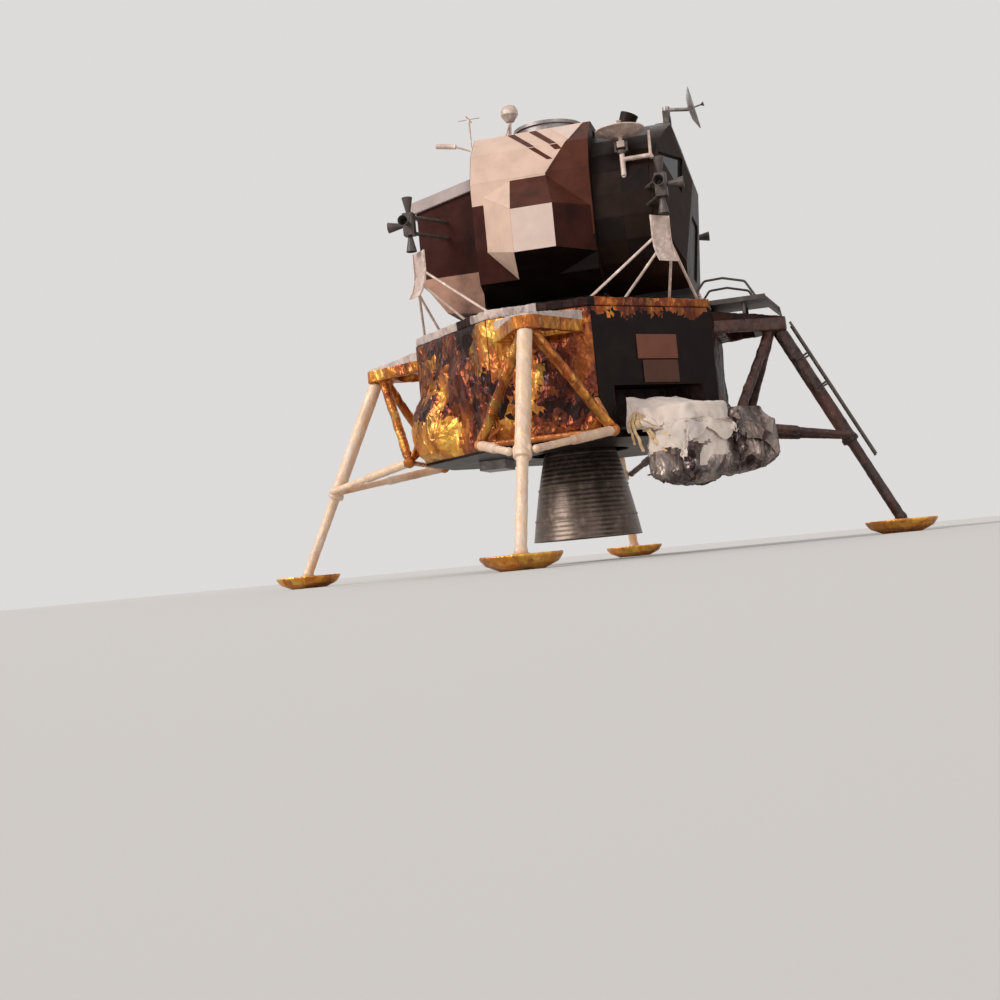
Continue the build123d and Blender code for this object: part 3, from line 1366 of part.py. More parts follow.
SINGLES = (
    descent_body, deck_rim, base_shield, ladder, porch, plume_deflectors, fuel_cask, interstage_posts,
    landing_radar, gimbal_ring, engine_bell, cabin_shell, cabin_front, window_glass, midsection,
    docking_tunnel, ascent_engine, aft_bay, aft_roof, radar_bracket, radar_yoke, radar_antenna,
    sband_boom, sband_yoke, sband_dish, antennas, telescope_shade, forward_hatch, overhead_hatch,
    mesa_pallet, mesa_bag, mesa_blankets, kit_bay_door,
)
LEG_PARTS = (outrigger, primary_strut, side_struts, deployment_truss, footpad)


def all_nodes():
    """Every piece by its node's name."""
    nodes = {build.__name__: build() for build in SINGLES}
    for side in FAIRINGS:
        nodes[f"tank_fairing_{side}"] = tank_fairing(side)
    for name, right, front in QUADS:
        nodes[f"rcs_{name}"] = rcs_cluster(right, front)
    for build in LEG_PARTS:
        made = build()
        for name, turn in LEGS:
            nodes[f"{build.__name__}_{name}"] = spin(made, turn)
    return nodes


def solids_of(made):
    pieces = made if isinstance(made, list) else [made]
    return [solid for piece in pieces for solid in piece.solids()]


os.makedirs("parts", exist_ok=True)
for node, made in all_nodes().items():
    export_step(Compound(solids_of(made)), f"parts/{node}.step")
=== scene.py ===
"""Looks of the lunar lander around its CAD frame. Metres, +Z up, front faces -Y, crew's right is -X."""
import bmesh
import bpy
import json
import random
from collections import namedtuple
from math import ceil, cos, pi, radians, sin, sqrt
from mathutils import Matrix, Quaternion, Vector, noise
from mathutils.bvhtree import BVHTree


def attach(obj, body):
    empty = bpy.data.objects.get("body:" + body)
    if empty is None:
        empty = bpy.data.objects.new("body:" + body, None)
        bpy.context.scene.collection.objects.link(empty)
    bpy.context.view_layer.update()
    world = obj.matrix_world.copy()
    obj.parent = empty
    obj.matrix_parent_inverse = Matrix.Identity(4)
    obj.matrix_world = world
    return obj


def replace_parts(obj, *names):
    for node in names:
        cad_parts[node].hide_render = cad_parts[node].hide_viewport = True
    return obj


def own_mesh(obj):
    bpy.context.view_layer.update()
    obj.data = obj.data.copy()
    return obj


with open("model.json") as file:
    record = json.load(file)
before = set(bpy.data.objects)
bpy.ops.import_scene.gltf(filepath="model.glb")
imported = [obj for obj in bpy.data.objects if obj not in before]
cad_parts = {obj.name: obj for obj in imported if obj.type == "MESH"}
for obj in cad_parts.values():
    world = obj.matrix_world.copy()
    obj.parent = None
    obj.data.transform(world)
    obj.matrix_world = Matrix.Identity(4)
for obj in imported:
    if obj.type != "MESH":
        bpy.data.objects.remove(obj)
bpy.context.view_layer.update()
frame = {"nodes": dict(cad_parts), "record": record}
NODES = frame["nodes"]
BODIES = frame["record"]["behaviour"]["bodies"]
BODY_OF = {node: body for body, members in BODIES.items() for node in members}

# Sizes that the dressing shares with the frame
STAGE_R = 2.057
HALF_FACE = 0.686
DIAGONAL_R = (STAGE_R + HALF_FACE) / 2 / sqrt(0.5)
BASE_Z = 1.575
DECK_Z = 3.226
CABIN_Z = 4.70
CABIN_R = 1.245
UP = Vector((0, 0, 1))

PALETTE = {
    # name: linear colour
    "black": (0.010, 0.005, 0.004),
    "brown_black": (0.018, 0.008, 0.005),
    "dark_red": (0.046, 0.010, 0.006),
    "brown": (0.082, 0.022, 0.012),
    "cream": (0.66, 0.46, 0.36),
    "pale": (0.66, 0.50, 0.43),
    "slab": (0.45, 0.36, 0.34),
    "blush": (0.44, 0.23, 0.16),
    "sign_red": (0.19, 0.07, 0.045),
    "sign_grey": (0.10, 0.045, 0.030),
    "yellow": (0.86, 0.52, 0.10),
    "gold": (0.72, 0.29, 0.045),
    "amber": (0.50, 0.14, 0.026),
    "rust": (0.27, 0.055, 0.016),
    "maroon": (0.090, 0.016, 0.010),
    "plum": (0.026, 0.008, 0.009),
    "wrap": (0.80, 0.56, 0.36),
    "wrap_shade": (0.55, 0.25, 0.10),
    "linen": (0.74, 0.62, 0.54),
    "silver": (0.42, 0.36, 0.34),
    "smoke": (0.085, 0.045, 0.034),
    "grey": (0.30, 0.26, 0.25),
    "metal": (0.085, 0.065, 0.058),
    "alloy": (0.15, 0.11, 0.09),
    "straw": (0.70, 0.50, 0.25),
}


# Material helpers

def base_material(name, rough, metal):
    """Material with its node tree, shader and object-space coordinates."""
    material = bpy.data.materials.new(name)
    material.use_nodes = True
    tree = material.node_tree
    shader = tree.nodes["Principled BSDF"]
    shader.inputs["Roughness"].default_value = rough
    shader.inputs["Metallic"].default_value = metal
    place = tree.nodes.new("ShaderNodeTexCoord").outputs["Object"]
    return material, tree, shader, place


def texture(tree, kind, place, scale, **settings):
    """Texture node with a scale per metre and its other inputs by name."""
    node = tree.nodes.new(kind)
    tree.links.new(place, node.inputs["Vector"])
    node.inputs["Scale"].default_value = scale
    for key, value in settings.items():
        node.inputs[key.capitalize()].default_value = value
    return node


def ramp(tree, source, stops):
    """Colours that a value runs through."""
    node = tree.nodes.new("ShaderNodeValToRGB")
    items = node.color_ramp.elements
    while len(items) < len(stops):
        items.new(0.5)
    for item, (at, colour) in zip(items, stops):
        item.position = at
        item.color = (*colour, 1)
    tree.links.new(source, node.inputs["Fac"])
    return node.outputs["Color"]


def bumped(tree, shader, height, strength, distance, before=None):
    """Bump on the shader, after another one where given."""
    node = tree.nodes.new("ShaderNodeBump")
    node.inputs["Strength"].default_value = strength
    node.inputs["Distance"].default_value = distance
    tree.links.new(height, node.inputs["Height"])
    if before:
        tree.links.new(before, node.inputs["Normal"])
    tree.links.new(node.outputs["Normal"], shader.inputs["Normal"])
    return node.outputs["Normal"]


def mixed(tree, factor, one, two):
    node = tree.nodes.new("ShaderNodeMix")
    node.data_type = "RGBA"
    tree.links.new(factor, node.inputs["Factor"])
    tree.links.new(one, node.inputs["A"])
    tree.links.new(two, node.inputs["B"])
    return node.outputs["Result"]


def spread(tree, source, low, high):
    """Source value laid over a new range."""
    node = tree.nodes.new("ShaderNodeMapRange")
    node.inputs["To Min"].default_value = low
    node.inputs["To Max"].default_value = high
    tree.links.new(source, node.inputs["Value"])
    return node.outputs["Result"]


# Materials

FOLD_STRETCH = (1, 1, 0.55)
SMALL_FOLDS = 2.6
PATCHES = 2.2


def foil(name, colours, fold, rough, metal, bump, gloss):
    """Crumpled metallised film in its own colours, its folds painted from dark to bright as reflections, with
    painted glints, longer upwards than across.
    """
    material, tree, shader, place = base_material(name, rough, metal)
    shader.inputs["Specular IOR Level"].default_value = gloss
    stretch = tree.nodes.new("ShaderNodeMapping")
    stretch.inputs["Scale"].default_value = FOLD_STRETCH
    tree.links.new(place, stretch.inputs["Vector"])
    upright = stretch.outputs["Vector"]
    warp = texture(tree, "ShaderNodeTexNoise", upright, 0.9 / fold, detail=4.0)
    bend = tree.nodes.new("ShaderNodeVectorMath")
    bend.operation = "MULTIPLY_ADD"
    bend.inputs[1].default_value = (fold, fold, fold)
    tree.links.new(warp.outputs["Color"], bend.inputs[0])
    tree.links.new(upright, bend.inputs[2])
    bent = bend.outputs["Vector"]
    cells = texture(tree, "ShaderNodeTexVoronoi", bent, 1.0 / fold)
    small = texture(tree, "ShaderNodeTexVoronoi", bent, SMALL_FOLDS / fold)
    broad = texture(tree, "ShaderNodeTexNoise", bent, PATCHES, detail=3.0)
    shades = [PALETTE[colour] for colour in colours.split()]
    stops = [(k / len(shades), shade) for k, shade in enumerate(shades)]
    # colours from fold to fold paint the film's reflections from dark to bright, and on the small folds its
    # glints
    facets = ramp(tree, cells.outputs["Color"], stops)
    glints = ramp(tree, small.outputs["Color"], stops)
    by_light = sorted(shades, key=sum)
    drift = ramp(tree, broad.outputs["Fac"],
                 [(0.34 + 0.32 * k / (len(shades) - 1), shade) for k, shade in enumerate(by_light)])
    both = mixed(tree, spread(tree, small.outputs["Distance"], 0.15, 0.85), facets, glints)
    tint = mixed(tree, spread(tree, warp.outputs["Fac"], 0.0, 0.9), both, drift)
    tree.links.new(tint, shader.inputs["Base Color"])
    first = bumped(tree, shader, cells.outputs["Distance"], bump, 0.30 * fold)
    bumped(tree, shader, small.outputs["Distance"], bump * 0.7, 0.10 * fold, first)
    tree.links.new(spread(tree, broad.outputs["Fac"], rough - 0.08, rough + 0.16), shader.inputs["Roughness"])
    return material


def panel(name, colour, shade, rough, gloss):
    """Thin sheet with slow buckles, clouded colour and a faint grain."""
    material, tree, shader, place = base_material(name, rough, 0.0)
    shader.inputs["Specular IOR Level"].default_value = gloss
    tone = PALETTE[colour]
    dark = tuple(c * shade for c in tone)
    light = tuple(min(1.0, c * 1.08 + 0.004) for c in tone)
    cloud = texture(tree, "ShaderNodeTexNoise", place, 3.2, detail=6.0, roughness=0.6)
    tint = ramp(tree, cloud.outputs["Fac"], [(0.30, dark), (0.52, tone), (0.72, light)])
    tree.links.new(tint, shader.inputs["Base Color"])
    buckle = texture(tree, "ShaderNodeTexNoise", place, 4.5, detail=1.0)
    grain = texture(tree, "ShaderNodeTexNoise", place, 260.0, detail=2.0)
    first = bumped(tree, shader, buckle.outputs["Fac"], 0.35, 0.030)
    bumped(tree, shader, grain.outputs["Fac"], 0.08, 0.001, first)
    tree.links.new(spread(tree, cloud.outputs["Fac"], rough - 0.1, rough + 0.12), shader.inputs["Roughness"])
    return material


def metal_finish(name, colour, rough, metal, rings):
    """Satin metal with worn patches, and rings along Z where asked."""
    material, tree, shader, place = base_material(name, rough, metal)
    tone = PALETTE[colour]
    dark = tuple(c * 0.7 for c in tone)
    worn = tuple(min(1.0, c * 1.9 + 0.02) for c in tone)
    cloud = texture(tree, "ShaderNodeTexNoise", place, 9.0, detail=8.0, roughness=0.65)
    tint = ramp(tree, cloud.outputs["Fac"], [(0.35, dark), (0.55, tone), (0.75, worn)])
    tree.links.new(tint, shader.inputs["Base Color"])
    grain = texture(tree, "ShaderNodeTexNoise", place, 180.0, detail=3.0)
    first = bumped(tree, shader, grain.outputs["Fac"], 0.12, 0.002)
    if rings:
        bands = texture(tree, "ShaderNodeTexWave", place, rings)
        bands.bands_direction = "Z"
        bumped(tree, shader, bands.outputs["Fac"], 0.25, 0.01, first)
    tree.links.new(spread(tree, cloud.outputs["Fac"], rough - 0.12, rough + 0.15), shader.inputs["Roughness"])
    return material


def woven(name, colour, stain_and_shade, sheen, rough, scale):
    """Woven cloth with wrinkles and stains, and painted shade in the pits of its wrinkles."""
    material, tree, shader, place = base_material(name, rough, 0.0)
    cloud = texture(tree, "ShaderNodeTexNoise", place, scale * 0.35, detail=5.0)
    creases = texture(tree, "ShaderNodeTexVoronoi", place, scale)
    tone = ramp(tree, cloud.outputs["Fac"], [(0.35, PALETTE[stain_and_shade]), (0.58, PALETTE[colour])])
    # the same colour darkens the pits of the wrinkle bump: painted shade
    edge = ramp(tree, creases.outputs["Distance"], [(0.0, PALETTE[stain_and_shade]), (0.35, PALETTE[colour])])
    share = spread(tree, cloud.outputs["Fac"], 0.2, 0.8)
    tree.links.new(mixed(tree, share, tone, edge), shader.inputs["Base Color"])
    weave = texture(tree, "ShaderNodeTexVoronoi", place, 420.0)
    first = bumped(tree, shader, creases.outputs["Distance"], 0.45, 0.025)
    bumped(tree, shader, weave.outputs["Distance"], 0.15, 0.001, first)
    shader.inputs["Sheen Weight"].default_value = sheen
    return material


def window_glass(name, dark, light):
    """Dark glass with smears under a clear coat."""
    material, tree, shader, place = base_material(name, 0.08, 0.0)
    smear = texture(tree, "ShaderNodeTexNoise", place, 5.0, detail=4.0)
    tree.links.new(ramp(tree, smear.outputs["Fac"], [(0.3, dark), (0.8, light)]), shader.inputs["Base Color"])
    shader.inputs["Coat Weight"].default_value = 0.6
    shader.inputs["Coat Roughness"].default_value = 0.05
    return material


FOILS = (
    # name, film colours from fold to fold that paint its reflections dark to bright, fold size, roughness,
    # metallic, bump, gloss
    ("foil_night", "black brown_black black dark_red black", 0.15, 0.46, 0.20, 0.60, 0.15),
    ("foil_plum", "plum maroon black plum rust maroon plum amber", 0.17, 0.30, 0.75, 0.60, 0.50),
    ("foil_rust", "plum rust maroon amber maroon rust gold plum", 0.17, 0.30, 0.75, 0.60, 0.50),
    ("foil_amber", "maroon amber rust gold amber plum yellow rust", 0.17, 0.30, 0.75, 0.60, 0.50),
    ("foil_gold", "amber gold yellow rust gold yellow maroon gold", 0.17, 0.30, 0.75, 0.60, 0.50),
    ("foil_pale", "silver slab pale silver pale smoke", 0.15, 0.50, 0.10, 0.60, 0.50),
    ("wrap", "wrap_shade wrap cream wrap linen", 0.12, 0.45, 0.15, 0.35, 0.50),
    ("wrap_amber", "rust amber wrap_shade amber", 0.12, 0.40, 0.50, 0.60, 0.50),
    ("wrap_dark", "black smoke brown dark_red black", 0.12, 0.45, 0.10, 0.60, 0.50),
    ("dark_film", "black smoke brown_black silver black plum pale", 0.20, 0.30, 0.60, 0.80, 0.50),
)
PANELS = (
    # name, colour, share of it left in dark clouds, roughness, gloss
    ("panel_black", "black", 0.60, 0.42, 0.12),
    ("panel_night", "brown_black", 0.60, 0.46, 0.12),
    ("panel_red", "dark_red", 0.50, 0.50, 0.12),
    ("panel_brown", "brown", 0.50, 0.50, 0.12),
    ("panel_cream", "cream", 0.86, 0.50, 0.40),
    ("panel_pale", "pale", 0.92, 0.50, 0.40),
    ("panel_slab", "slab", 0.82, 0.50, 0.40),
    ("panel_blush", "blush", 0.50, 0.50, 0.40),
    ("panel_smoke", "smoke", 0.70, 0.50, 0.12),
    ("sign_red", "sign_red", 0.80, 0.50, 0.12),
    ("sign_grey", "sign_grey", 0.80, 0.50, 0.12),
)
METALS = (
    # name, colour, roughness, metallic, ring scale
    ("metal", "metal", 0.50, 0.30, 0),
    ("grey_metal", "grey", 0.42, 0.70, 0),
    ("pale_metal", "pale", 0.50, 0.30, 0),
    ("alloy", "alloy", 0.38, 0.80, 5.0),
    ("straw", "straw", 0.50, 0.40, 0),
)
CLOTHS = (
    # name, colour, colour of stains and of painted shade in the pits of wrinkles, sheen, roughness, wrinkle
    # scale
    ("linen", "linen", "silver", 0.2, 0.8, 5.0),
    ("strap", "straw", "blush", 0.1, 0.7, 40.0),
)
GLASSES = (
    # name, dark and light linear colour
    ("window_glass", (0.010, 0.012, 0.016), (0.035, 0.036, 0.040)),
)
MATERIALS = {}
for make, rows in ((foil, FOILS), (panel, PANELS), (metal_finish, METALS), (woven, CLOTHS),
                   (window_glass, GLASSES)):
    for row in rows:
        MATERIALS[row[0]] = make(*row)


# Finish of the CAD nodes, also of those that a film replaces below

LEGS = ("front", "left", "rear", "right")
CLUSTERS = ("front_right", "front_left", "rear_right", "rear_left")
FINISHES = {
    # material: nodes
    "metal": ("ladder", "gimbal_ring", "radar_bracket", "radar_yoke", "sband_yoke", "mesa_pallet", "porch",
              *(f"rcs_{cluster}" for cluster in CLUSTERS)),
    "grey_metal": ("docking_tunnel", "ascent_engine", "landing_radar", "overhead_hatch", "radar_antenna"),
    "pale_metal": ("plume_deflectors", "sband_boom", "sband_dish", "antennas"),
    "foil_night": ("descent_body",),
    "foil_pale": ("deck_rim",),
    "foil_amber": [f"outrigger_{leg}" for leg in LEGS],
    "foil_rust": [f"deployment_truss_{leg}" for leg in LEGS],
    "foil_gold": [f"footpad_{leg}" for leg in LEGS],
    "wrap": [f"{strut}_{leg}" for strut in ("primary_strut", "side_struts") for leg in LEGS],
    "wrap_dark": ("interstage_posts",),
    "panel_night": ("cabin_shell", "cabin_front", "midsection", "forward_hatch", "telescope_shade",
                    "aft_bay"),
    "panel_slab": ("aft_roof",),
    "panel_cream": ("tank_fairing_right", "tank_fairing_left"),
    "panel_black": ("kit_bay_door", "base_shield"),
    "straw": ("fuel_cask",),
    "alloy": ("engine_bell",),
    "window_glass": ("window_glass",),
    "linen": ("mesa_bag", "mesa_blankets"),
}


def dress(mesh, keys, choose=None):
    """Gives a mesh new materials; choose names each face's by its normal and centre."""
    mesh.materials.clear()
    for key in keys:
        mesh.materials.append(MATERIALS[key])
    if choose:
        for polygon in mesh.polygons:
            polygon.material_index = keys.index(choose(polygon.normal, polygon.center))


for key, members in FINISHES.items():
    for node in members:
        dress(NODES[node].data, [key])


# Mesh helpers

def mesh_of(name, bm):
    """Mesh made from a bmesh, which is freed."""
    mesh = bpy.data.meshes.new(name)
    bm.to_mesh(mesh)
    bm.free()
    return mesh


def placed(name, data):
    """Object around a mesh, lamp or camera, linked to the scene."""
    obj = bpy.data.objects.new(name, data)
    bpy.context.scene.collection.objects.link(obj)
    return obj


def shaded(mesh, smooth):
    mesh.polygons.foreach_set("use_smooth", [smooth] * len(mesh.polygons))


def piece(name, bm, keys, body="lander", smooth=False):
    """Object from a bmesh, with its materials, riding on a body."""
    mesh = mesh_of(name, bm)
    obj = placed(name, mesh)
    for key in keys:
        mesh.materials.append(MATERIALS[key])
    shaded(mesh, smooth)
    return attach(obj, body)


def side_of(x, y):
    """Origin, level, and outward directions of the stage's side that faces (x, y)."""
    out = Vector((x, y, 0)).normalized()
    reach = DIAGONAL_R if abs(x) == abs(y) else STAGE_R
    return out * reach, UP.cross(out), out


def on_side(side, u, z, w=0.0):
    """Point on a side at a level distance u, a height z and a distance w outwards."""
    origin, level, out = side
    return origin + level * u + out * w + UP * z


FLATTER = 0.6
RIDGE_SHARPNESS = 2.2
CRUMPLE_SHARES = (0.50, 0.22, 0.36)


def crumple(place, size, seed):
    """Height from 0 to 1 of crumpled film, with sharp ridges between its folds."""
    shift = Vector((seed * 7.3, seed * 3.1, seed * 5.7))
    spot = Vector((place.x, place.y, place.z * FLATTER))
    near = noise.voronoi(spot / size + shift)[0]
    fine = noise.voronoi(spot / (size * 0.4) + shift)[0]
    ridge = 1.0 - abs(noise.noise(spot / (size * 1.3) + shift)) * RIDGE_SHARPNESS
    folds, small, ridges = CRUMPLE_SHARES
    return max(0.0, min(1.0, folds * (near[1] - near[0]) + small * (fine[1] - fine[0]) + ridges * ridge))


def normals_of(mesh):
    return [v.normal.copy() for v in mesh.vertices]


def crumpled(mesh, depth, size, seed, inward):
    """Moves a mesh's vertices along their normals by a crumple, of which a share goes inwards."""
    for v, normal in zip(mesh.vertices, normals_of(mesh)):
        v.co += normal * depth * (crumple(v.co, size, seed) - inward)


def applied(obj):
    """Gives an object the mesh that its modifiers make."""
    graph = bpy.context.evaluated_depsgraph_get()
    old = obj.data
    obj.data = bpy.data.meshes.new_from_object(obj.evaluated_get(graph))
    obj.modifiers.clear()
    bpy.data.meshes.remove(old)


def remeshed(name, node, voxel):
    """Object with a node's own form in small even faces."""
    obj = placed(name, NODES[node].data.copy())
    modifier = obj.modifiers.new("remesh", "REMESH")
    modifier.mode = "VOXEL"
    modifier.voxel_size = voxel
    applied(obj)
    return obj


FILM_INWARD = 0.3


def wrapped(node, voxel, depth, size, seed, keys, choose=None):
    """Crumpled film in place of a node, in the node's own form."""
    obj = remeshed(f"{node}_film", node, voxel)
    crumpled(obj.data, depth, size, seed, FILM_INWARD)
    dress(obj.data, keys, choose)
    shaded(obj.data, False)
    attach(obj, BODY_OF[node])
    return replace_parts(obj, node)


# Blankets of the descent stage

FRONT = side_of(0, -1)
LEFT = side_of(1, 0)
REAR = side_of(0, 1)
RIGHT = side_of(-1, 0)
FRONT_RIGHT = side_of(-1, -1)
FRONT_LEFT = side_of(1, -1)
REAR_RIGHT = side_of(-1, 1)
REAR_LEFT = side_of(1, 1)

BLANKET_LOW = BASE_Z + 0.005
BLANKET_HIGH = DECK_Z - 0.006
SQUARE_U = HALF_FACE - 0.006
DIAGONAL_U = 0.965
SQUARE_SPAN = (-SQUARE_U, SQUARE_U, BLANKET_LOW, BLANKET_HIGH)
DIAGONAL_SPAN = (-DIAGONAL_U, DIAGONAL_U, BLANKET_LOW, BLANKET_HIGH)
BLANKETS = (
    # name, side, span, crumple depth and size, then three tables:
    # zones as u low, u high, z low, z high, finish, where the first that holds a spot counts,
    # bulges as u, z, radius, height, and holes as u low, u high, z low, z high
    ("right", RIGHT, SQUARE_SPAN, 0.085, 0.26, (
        # the amber zones round the strut and the rust strip near the top are painted glints
        (-0.90, -0.06, 2.45, 3.40, "foil_amber"),
        (-0.50, -0.02, 1.95, 2.60, "foil_amber"),
        (-0.06, 0.90, 3.00, 3.16, "foil_rust"),
        (-0.90, 0.90, 1.90, 2.10, "foil_night"),
        (-0.90, -0.20, 1.30, 1.90, "foil_amber"),
        (-0.20, 0.90, 1.30, 1.74, "foil_rust"),
        (-0.90, 0.90, 1.30, 3.40, "foil_plum"),
    ), ((0.25, 2.75, 0.35, 0.03),), ()),
    ("rear_right", REAR_RIGHT, DIAGONAL_SPAN, 0.095, 0.28, (
        (0.20, 0.62, 2.95, 3.40, "foil_night"),
        (0.62, 1.20, 2.55, 3.40, "foil_amber"),
        (-1.20, 0.10, 1.30, 2.12, "foil_gold"),
        # this gold strip is a painted highlight down a fold
        (-0.68, -0.42, 2.40, 2.95, "foil_gold"),
        (-1.20, -0.62, 2.10, 3.00, "foil_rust"),
        (-0.35, -0.10, 2.10, 2.75, "foil_amber"),
        (0.10, 1.20, 1.30, 1.95, "foil_rust"),
        (-1.20, 1.20, 1.30, 3.40, "foil_plum"),
    ), ((-0.58, 1.98, 0.58, 0.24), (0.30, 2.45, 0.45, 0.05)), ()),
    ("rear", REAR, SQUARE_SPAN, 0.080, 0.26, (
        (-0.90, 0.90, 1.30, 2.20, "foil_gold"),
        (-0.90, 0.90, 1.30, 3.40, "foil_amber"),
    ), ((0.40, 1.95, 0.40, 0.10),), ()),
    ("rear_left", REAR_LEFT, DIAGONAL_SPAN, 0.030, 0.26, (
        (-1.20, 1.20, 1.30, 3.40, "foil_rust"),
    ), (), ((-0.25, 0.77, 1.72, 2.81), (-0.625, -0.495, 2.09, 2.54))),
    ("left", LEFT, SQUARE_SPAN, 0.080, 0.26, (
        (-0.90, 0.90, 1.30, 2.05, "foil_amber"),
        (-0.90, 0.90, 1.30, 3.40, "foil_plum"),
    ), (), ()),
    ("front_left_top", FRONT_LEFT, (-DIAGONAL_U, DIAGONAL_U, DECK_Z - 0.071, DECK_Z - 0.004), 0.010, 0.12, (
        (-1.20, 1.20, 1.30, 3.60, "foil_night"),
    ), (), ()),
    ("front_left_sill", FRONT_LEFT, (-DIAGONAL_U, DIAGONAL_U, BASE_Z + 0.003, BASE_Z + 0.061), 0.010, 0.12, (
        (-1.20, 1.20, 1.30, 3.60, "foil_night"),
    ), (), ()),
    ("front", FRONT, SQUARE_SPAN, 0.060, 0.30, (
        (-1.20, 1.20, 1.30, 3.40, "foil_night"),
    ), (), ()),
    ("front_right", FRONT_RIGHT, DIAGONAL_SPAN, 0.016, 0.45, (
        (-1.20, 1.20, 3.14, 3.40, "foil_rust"),
        (-1.20, 1.20, 1.30, 3.40, "panel_black"),
    ), (), ((-0.735, 0.735, 1.635, 2.225),)),
)
CELL = 0.050
BLANKET_LIFT = 0.004
EDGE_LIFT = 0.0005
EDGE_FADE = 1.6 * CELL
LINE_GAP = 0.35 * CELL
JITTER = 0.36 * CELL
ZONE_WANDER = 0.16
ZONE_BLUR = 0.05
BULGE_ROUNDNESS = 0.8


def lines_between(low, high, extra):
    """Stations of a blanket's grid, with the given ones among them."""
    count = max(1, ceil((high - low) / CELL))
    stations = [low + (high - low) * k / count for k in range(count + 1)]
    for value in extra:
        if low < value < high:
            stations = [s for s in stations if abs(s - value) > LINE_GAP or s in (low, high)] + [value]
    return sorted(set(stations))


def edge_share(u, z, span, holes):
    """From 0 at a blanket's edges and holes to 1 farther in."""
    u_low, u_high, z_low, z_high = span
    gap = min(u - u_low, u_high - u, z - z_low, z_high - z)
    for left, right, bottom, top in holes:
        gap = min(gap, max(left - u, u - right, bottom - z, z - top))
    return max(0.0, min(1.0, gap / EDGE_FADE))


def zone_at(u, z, zones, seed, rng):
    """Number of the first zone that holds a spot, with wandering, ragged borders."""
    wander = noise.noise(Vector((u * 4.0, z * 3.0, seed))) * ZONE_WANDER + rng.uniform(-ZONE_BLUR, ZONE_BLUR)
    for number, (low, high, bottom, top, _) in enumerate(zones):
        if low <= u + wander <= high and bottom <= z + wander <= top:
            return number
    return len(zones) - 1


def turned_in(bm, edges, normal, drop_of):
    """Rim drawn from border edges, each of its vertices lowered against a normal."""
    for item in bmesh.ops.extrude_edge_only(bm, edges=edges)["geom"]:
        if isinstance(item, bmesh.types.BMVert):
            item.co -= normal * drop_of(item.co)


def blanket(bm, side, span, depth, size, zones, bulges, holes, seed):
    """Crumpled rectangle on a side of the stage, turned in to the side at its edges and round its holes."""
    rng = random.Random(seed)
    origin, level, out = side
    us = lines_between(*span[:2], [edge for hole in holes for edge in hole[:2]])
    zs = lines_between(*span[2:], [edge for hole in holes for edge in hole[2:]])
    grid = {}
    for i, u in enumerate(us):
        for j, z in enumerate(zs):
            share = edge_share(u, z, span, holes)
            jitter = JITTER * share
            place = on_side(side, u + rng.uniform(-jitter, jitter), z + rng.uniform(-jitter, jitter))
            rise = BLANKET_LIFT + depth * share * crumple(place, size, seed)
            for u_mid, z_mid, radius, high in bulges:
                near = 1.0 - ((u - u_mid) ** 2 + (z - z_mid) ** 2) / radius ** 2
                rise += high * share * max(0.0, near) ** BULGE_ROUNDNESS
            grid[i, j] = bm.verts.new(place + out * rise)
    for i in range(len(us) - 1):
        for j in range(len(zs) - 1):
            u = (us[i] + us[i + 1]) / 2
            z = (zs[j] + zs[j + 1]) / 2
            if any(left < u < right and bottom < z < top for left, right, bottom, top in holes):
                continue
            a, b, c, d = grid[i, j], grid[i + 1, j], grid[i + 1, j + 1], grid[i, j + 1]
            halves = ((a, b, c), (a, c, d)) if rng.random() < 0.5 else ((a, b, d), (b, c, d))
            for half in halves:
                face = bm.faces.new(half)
                spot = face.calc_center_median() - origin
                face.material_index = zone_at(spot.dot(level), spot.z, zones, seed, rng)
    border = [e for e in bm.edges if len(e.link_faces) == 1]
    turned_in(bm, border, out, lambda co: (co - origin).dot(out) - EDGE_LIFT)
    loose = [v for v in grid.values() if not v.link_faces]
    bmesh.ops.delete(bm, geom=loose, context="VERTS")


for number, (name, *form) in enumerate(BLANKETS):
    bm = bmesh.new()
    blanket(bm, *form, number + 1)
    piece(f"stage_blanket_{name}", bm, [zone[-1] for zone in form[4]])


# Plates with fasteners

PLATE_LIFT = 0.004
PLATE_CELL = 0.14
PLATE_CRUMPLE = 0.5
RIM_LIFT = 0.0004
RIVET_PITCH = 0.11
RIVET_INSET = 0.02
RIVET_R = 0.006
RIVET_RISE = 0.003
RIVET_SIDES = 6


def stud(bm, spot, normal, index):
    """Low domed fastener."""
    side = normal.orthogonal().normalized()
    other = normal.cross(side)
    ring = []
    for k in range(RIVET_SIDES):
        turn = 2 * pi * k / RIVET_SIDES
        ring.append(bm.verts.new(spot + (side * cos(turn) + other * sin(turn)) * RIVET_R))
    top = bm.verts.new(spot + normal * RIVET_RISE)
    for k in range(RIVET_SIDES):
        bm.faces.new((ring[k], ring[(k + 1) % RIVET_SIDES], top)).material_index = index


def rivet_rows(bm, corners, normal, lift, index):
    """Fasteners along the edges of a plate, a little way in."""
    middle = sum(corners, Vector()) / len(corners)
    for start, end in zip(corners, corners[1:] + corners[:1]):
        run = end - start
        if run.length < 2 * RIVET_PITCH:
            continue
        inward = middle - (start + end) / 2
        inward -= run.normalized() * inward.dot(run.normalized())
        count = int(run.length / RIVET_PITCH)
        for j in range(1, count):
            spot = start + run * (j / count) + inward.normalized() * RIVET_INSET + normal * lift
            stud(bm, spot, normal, index)


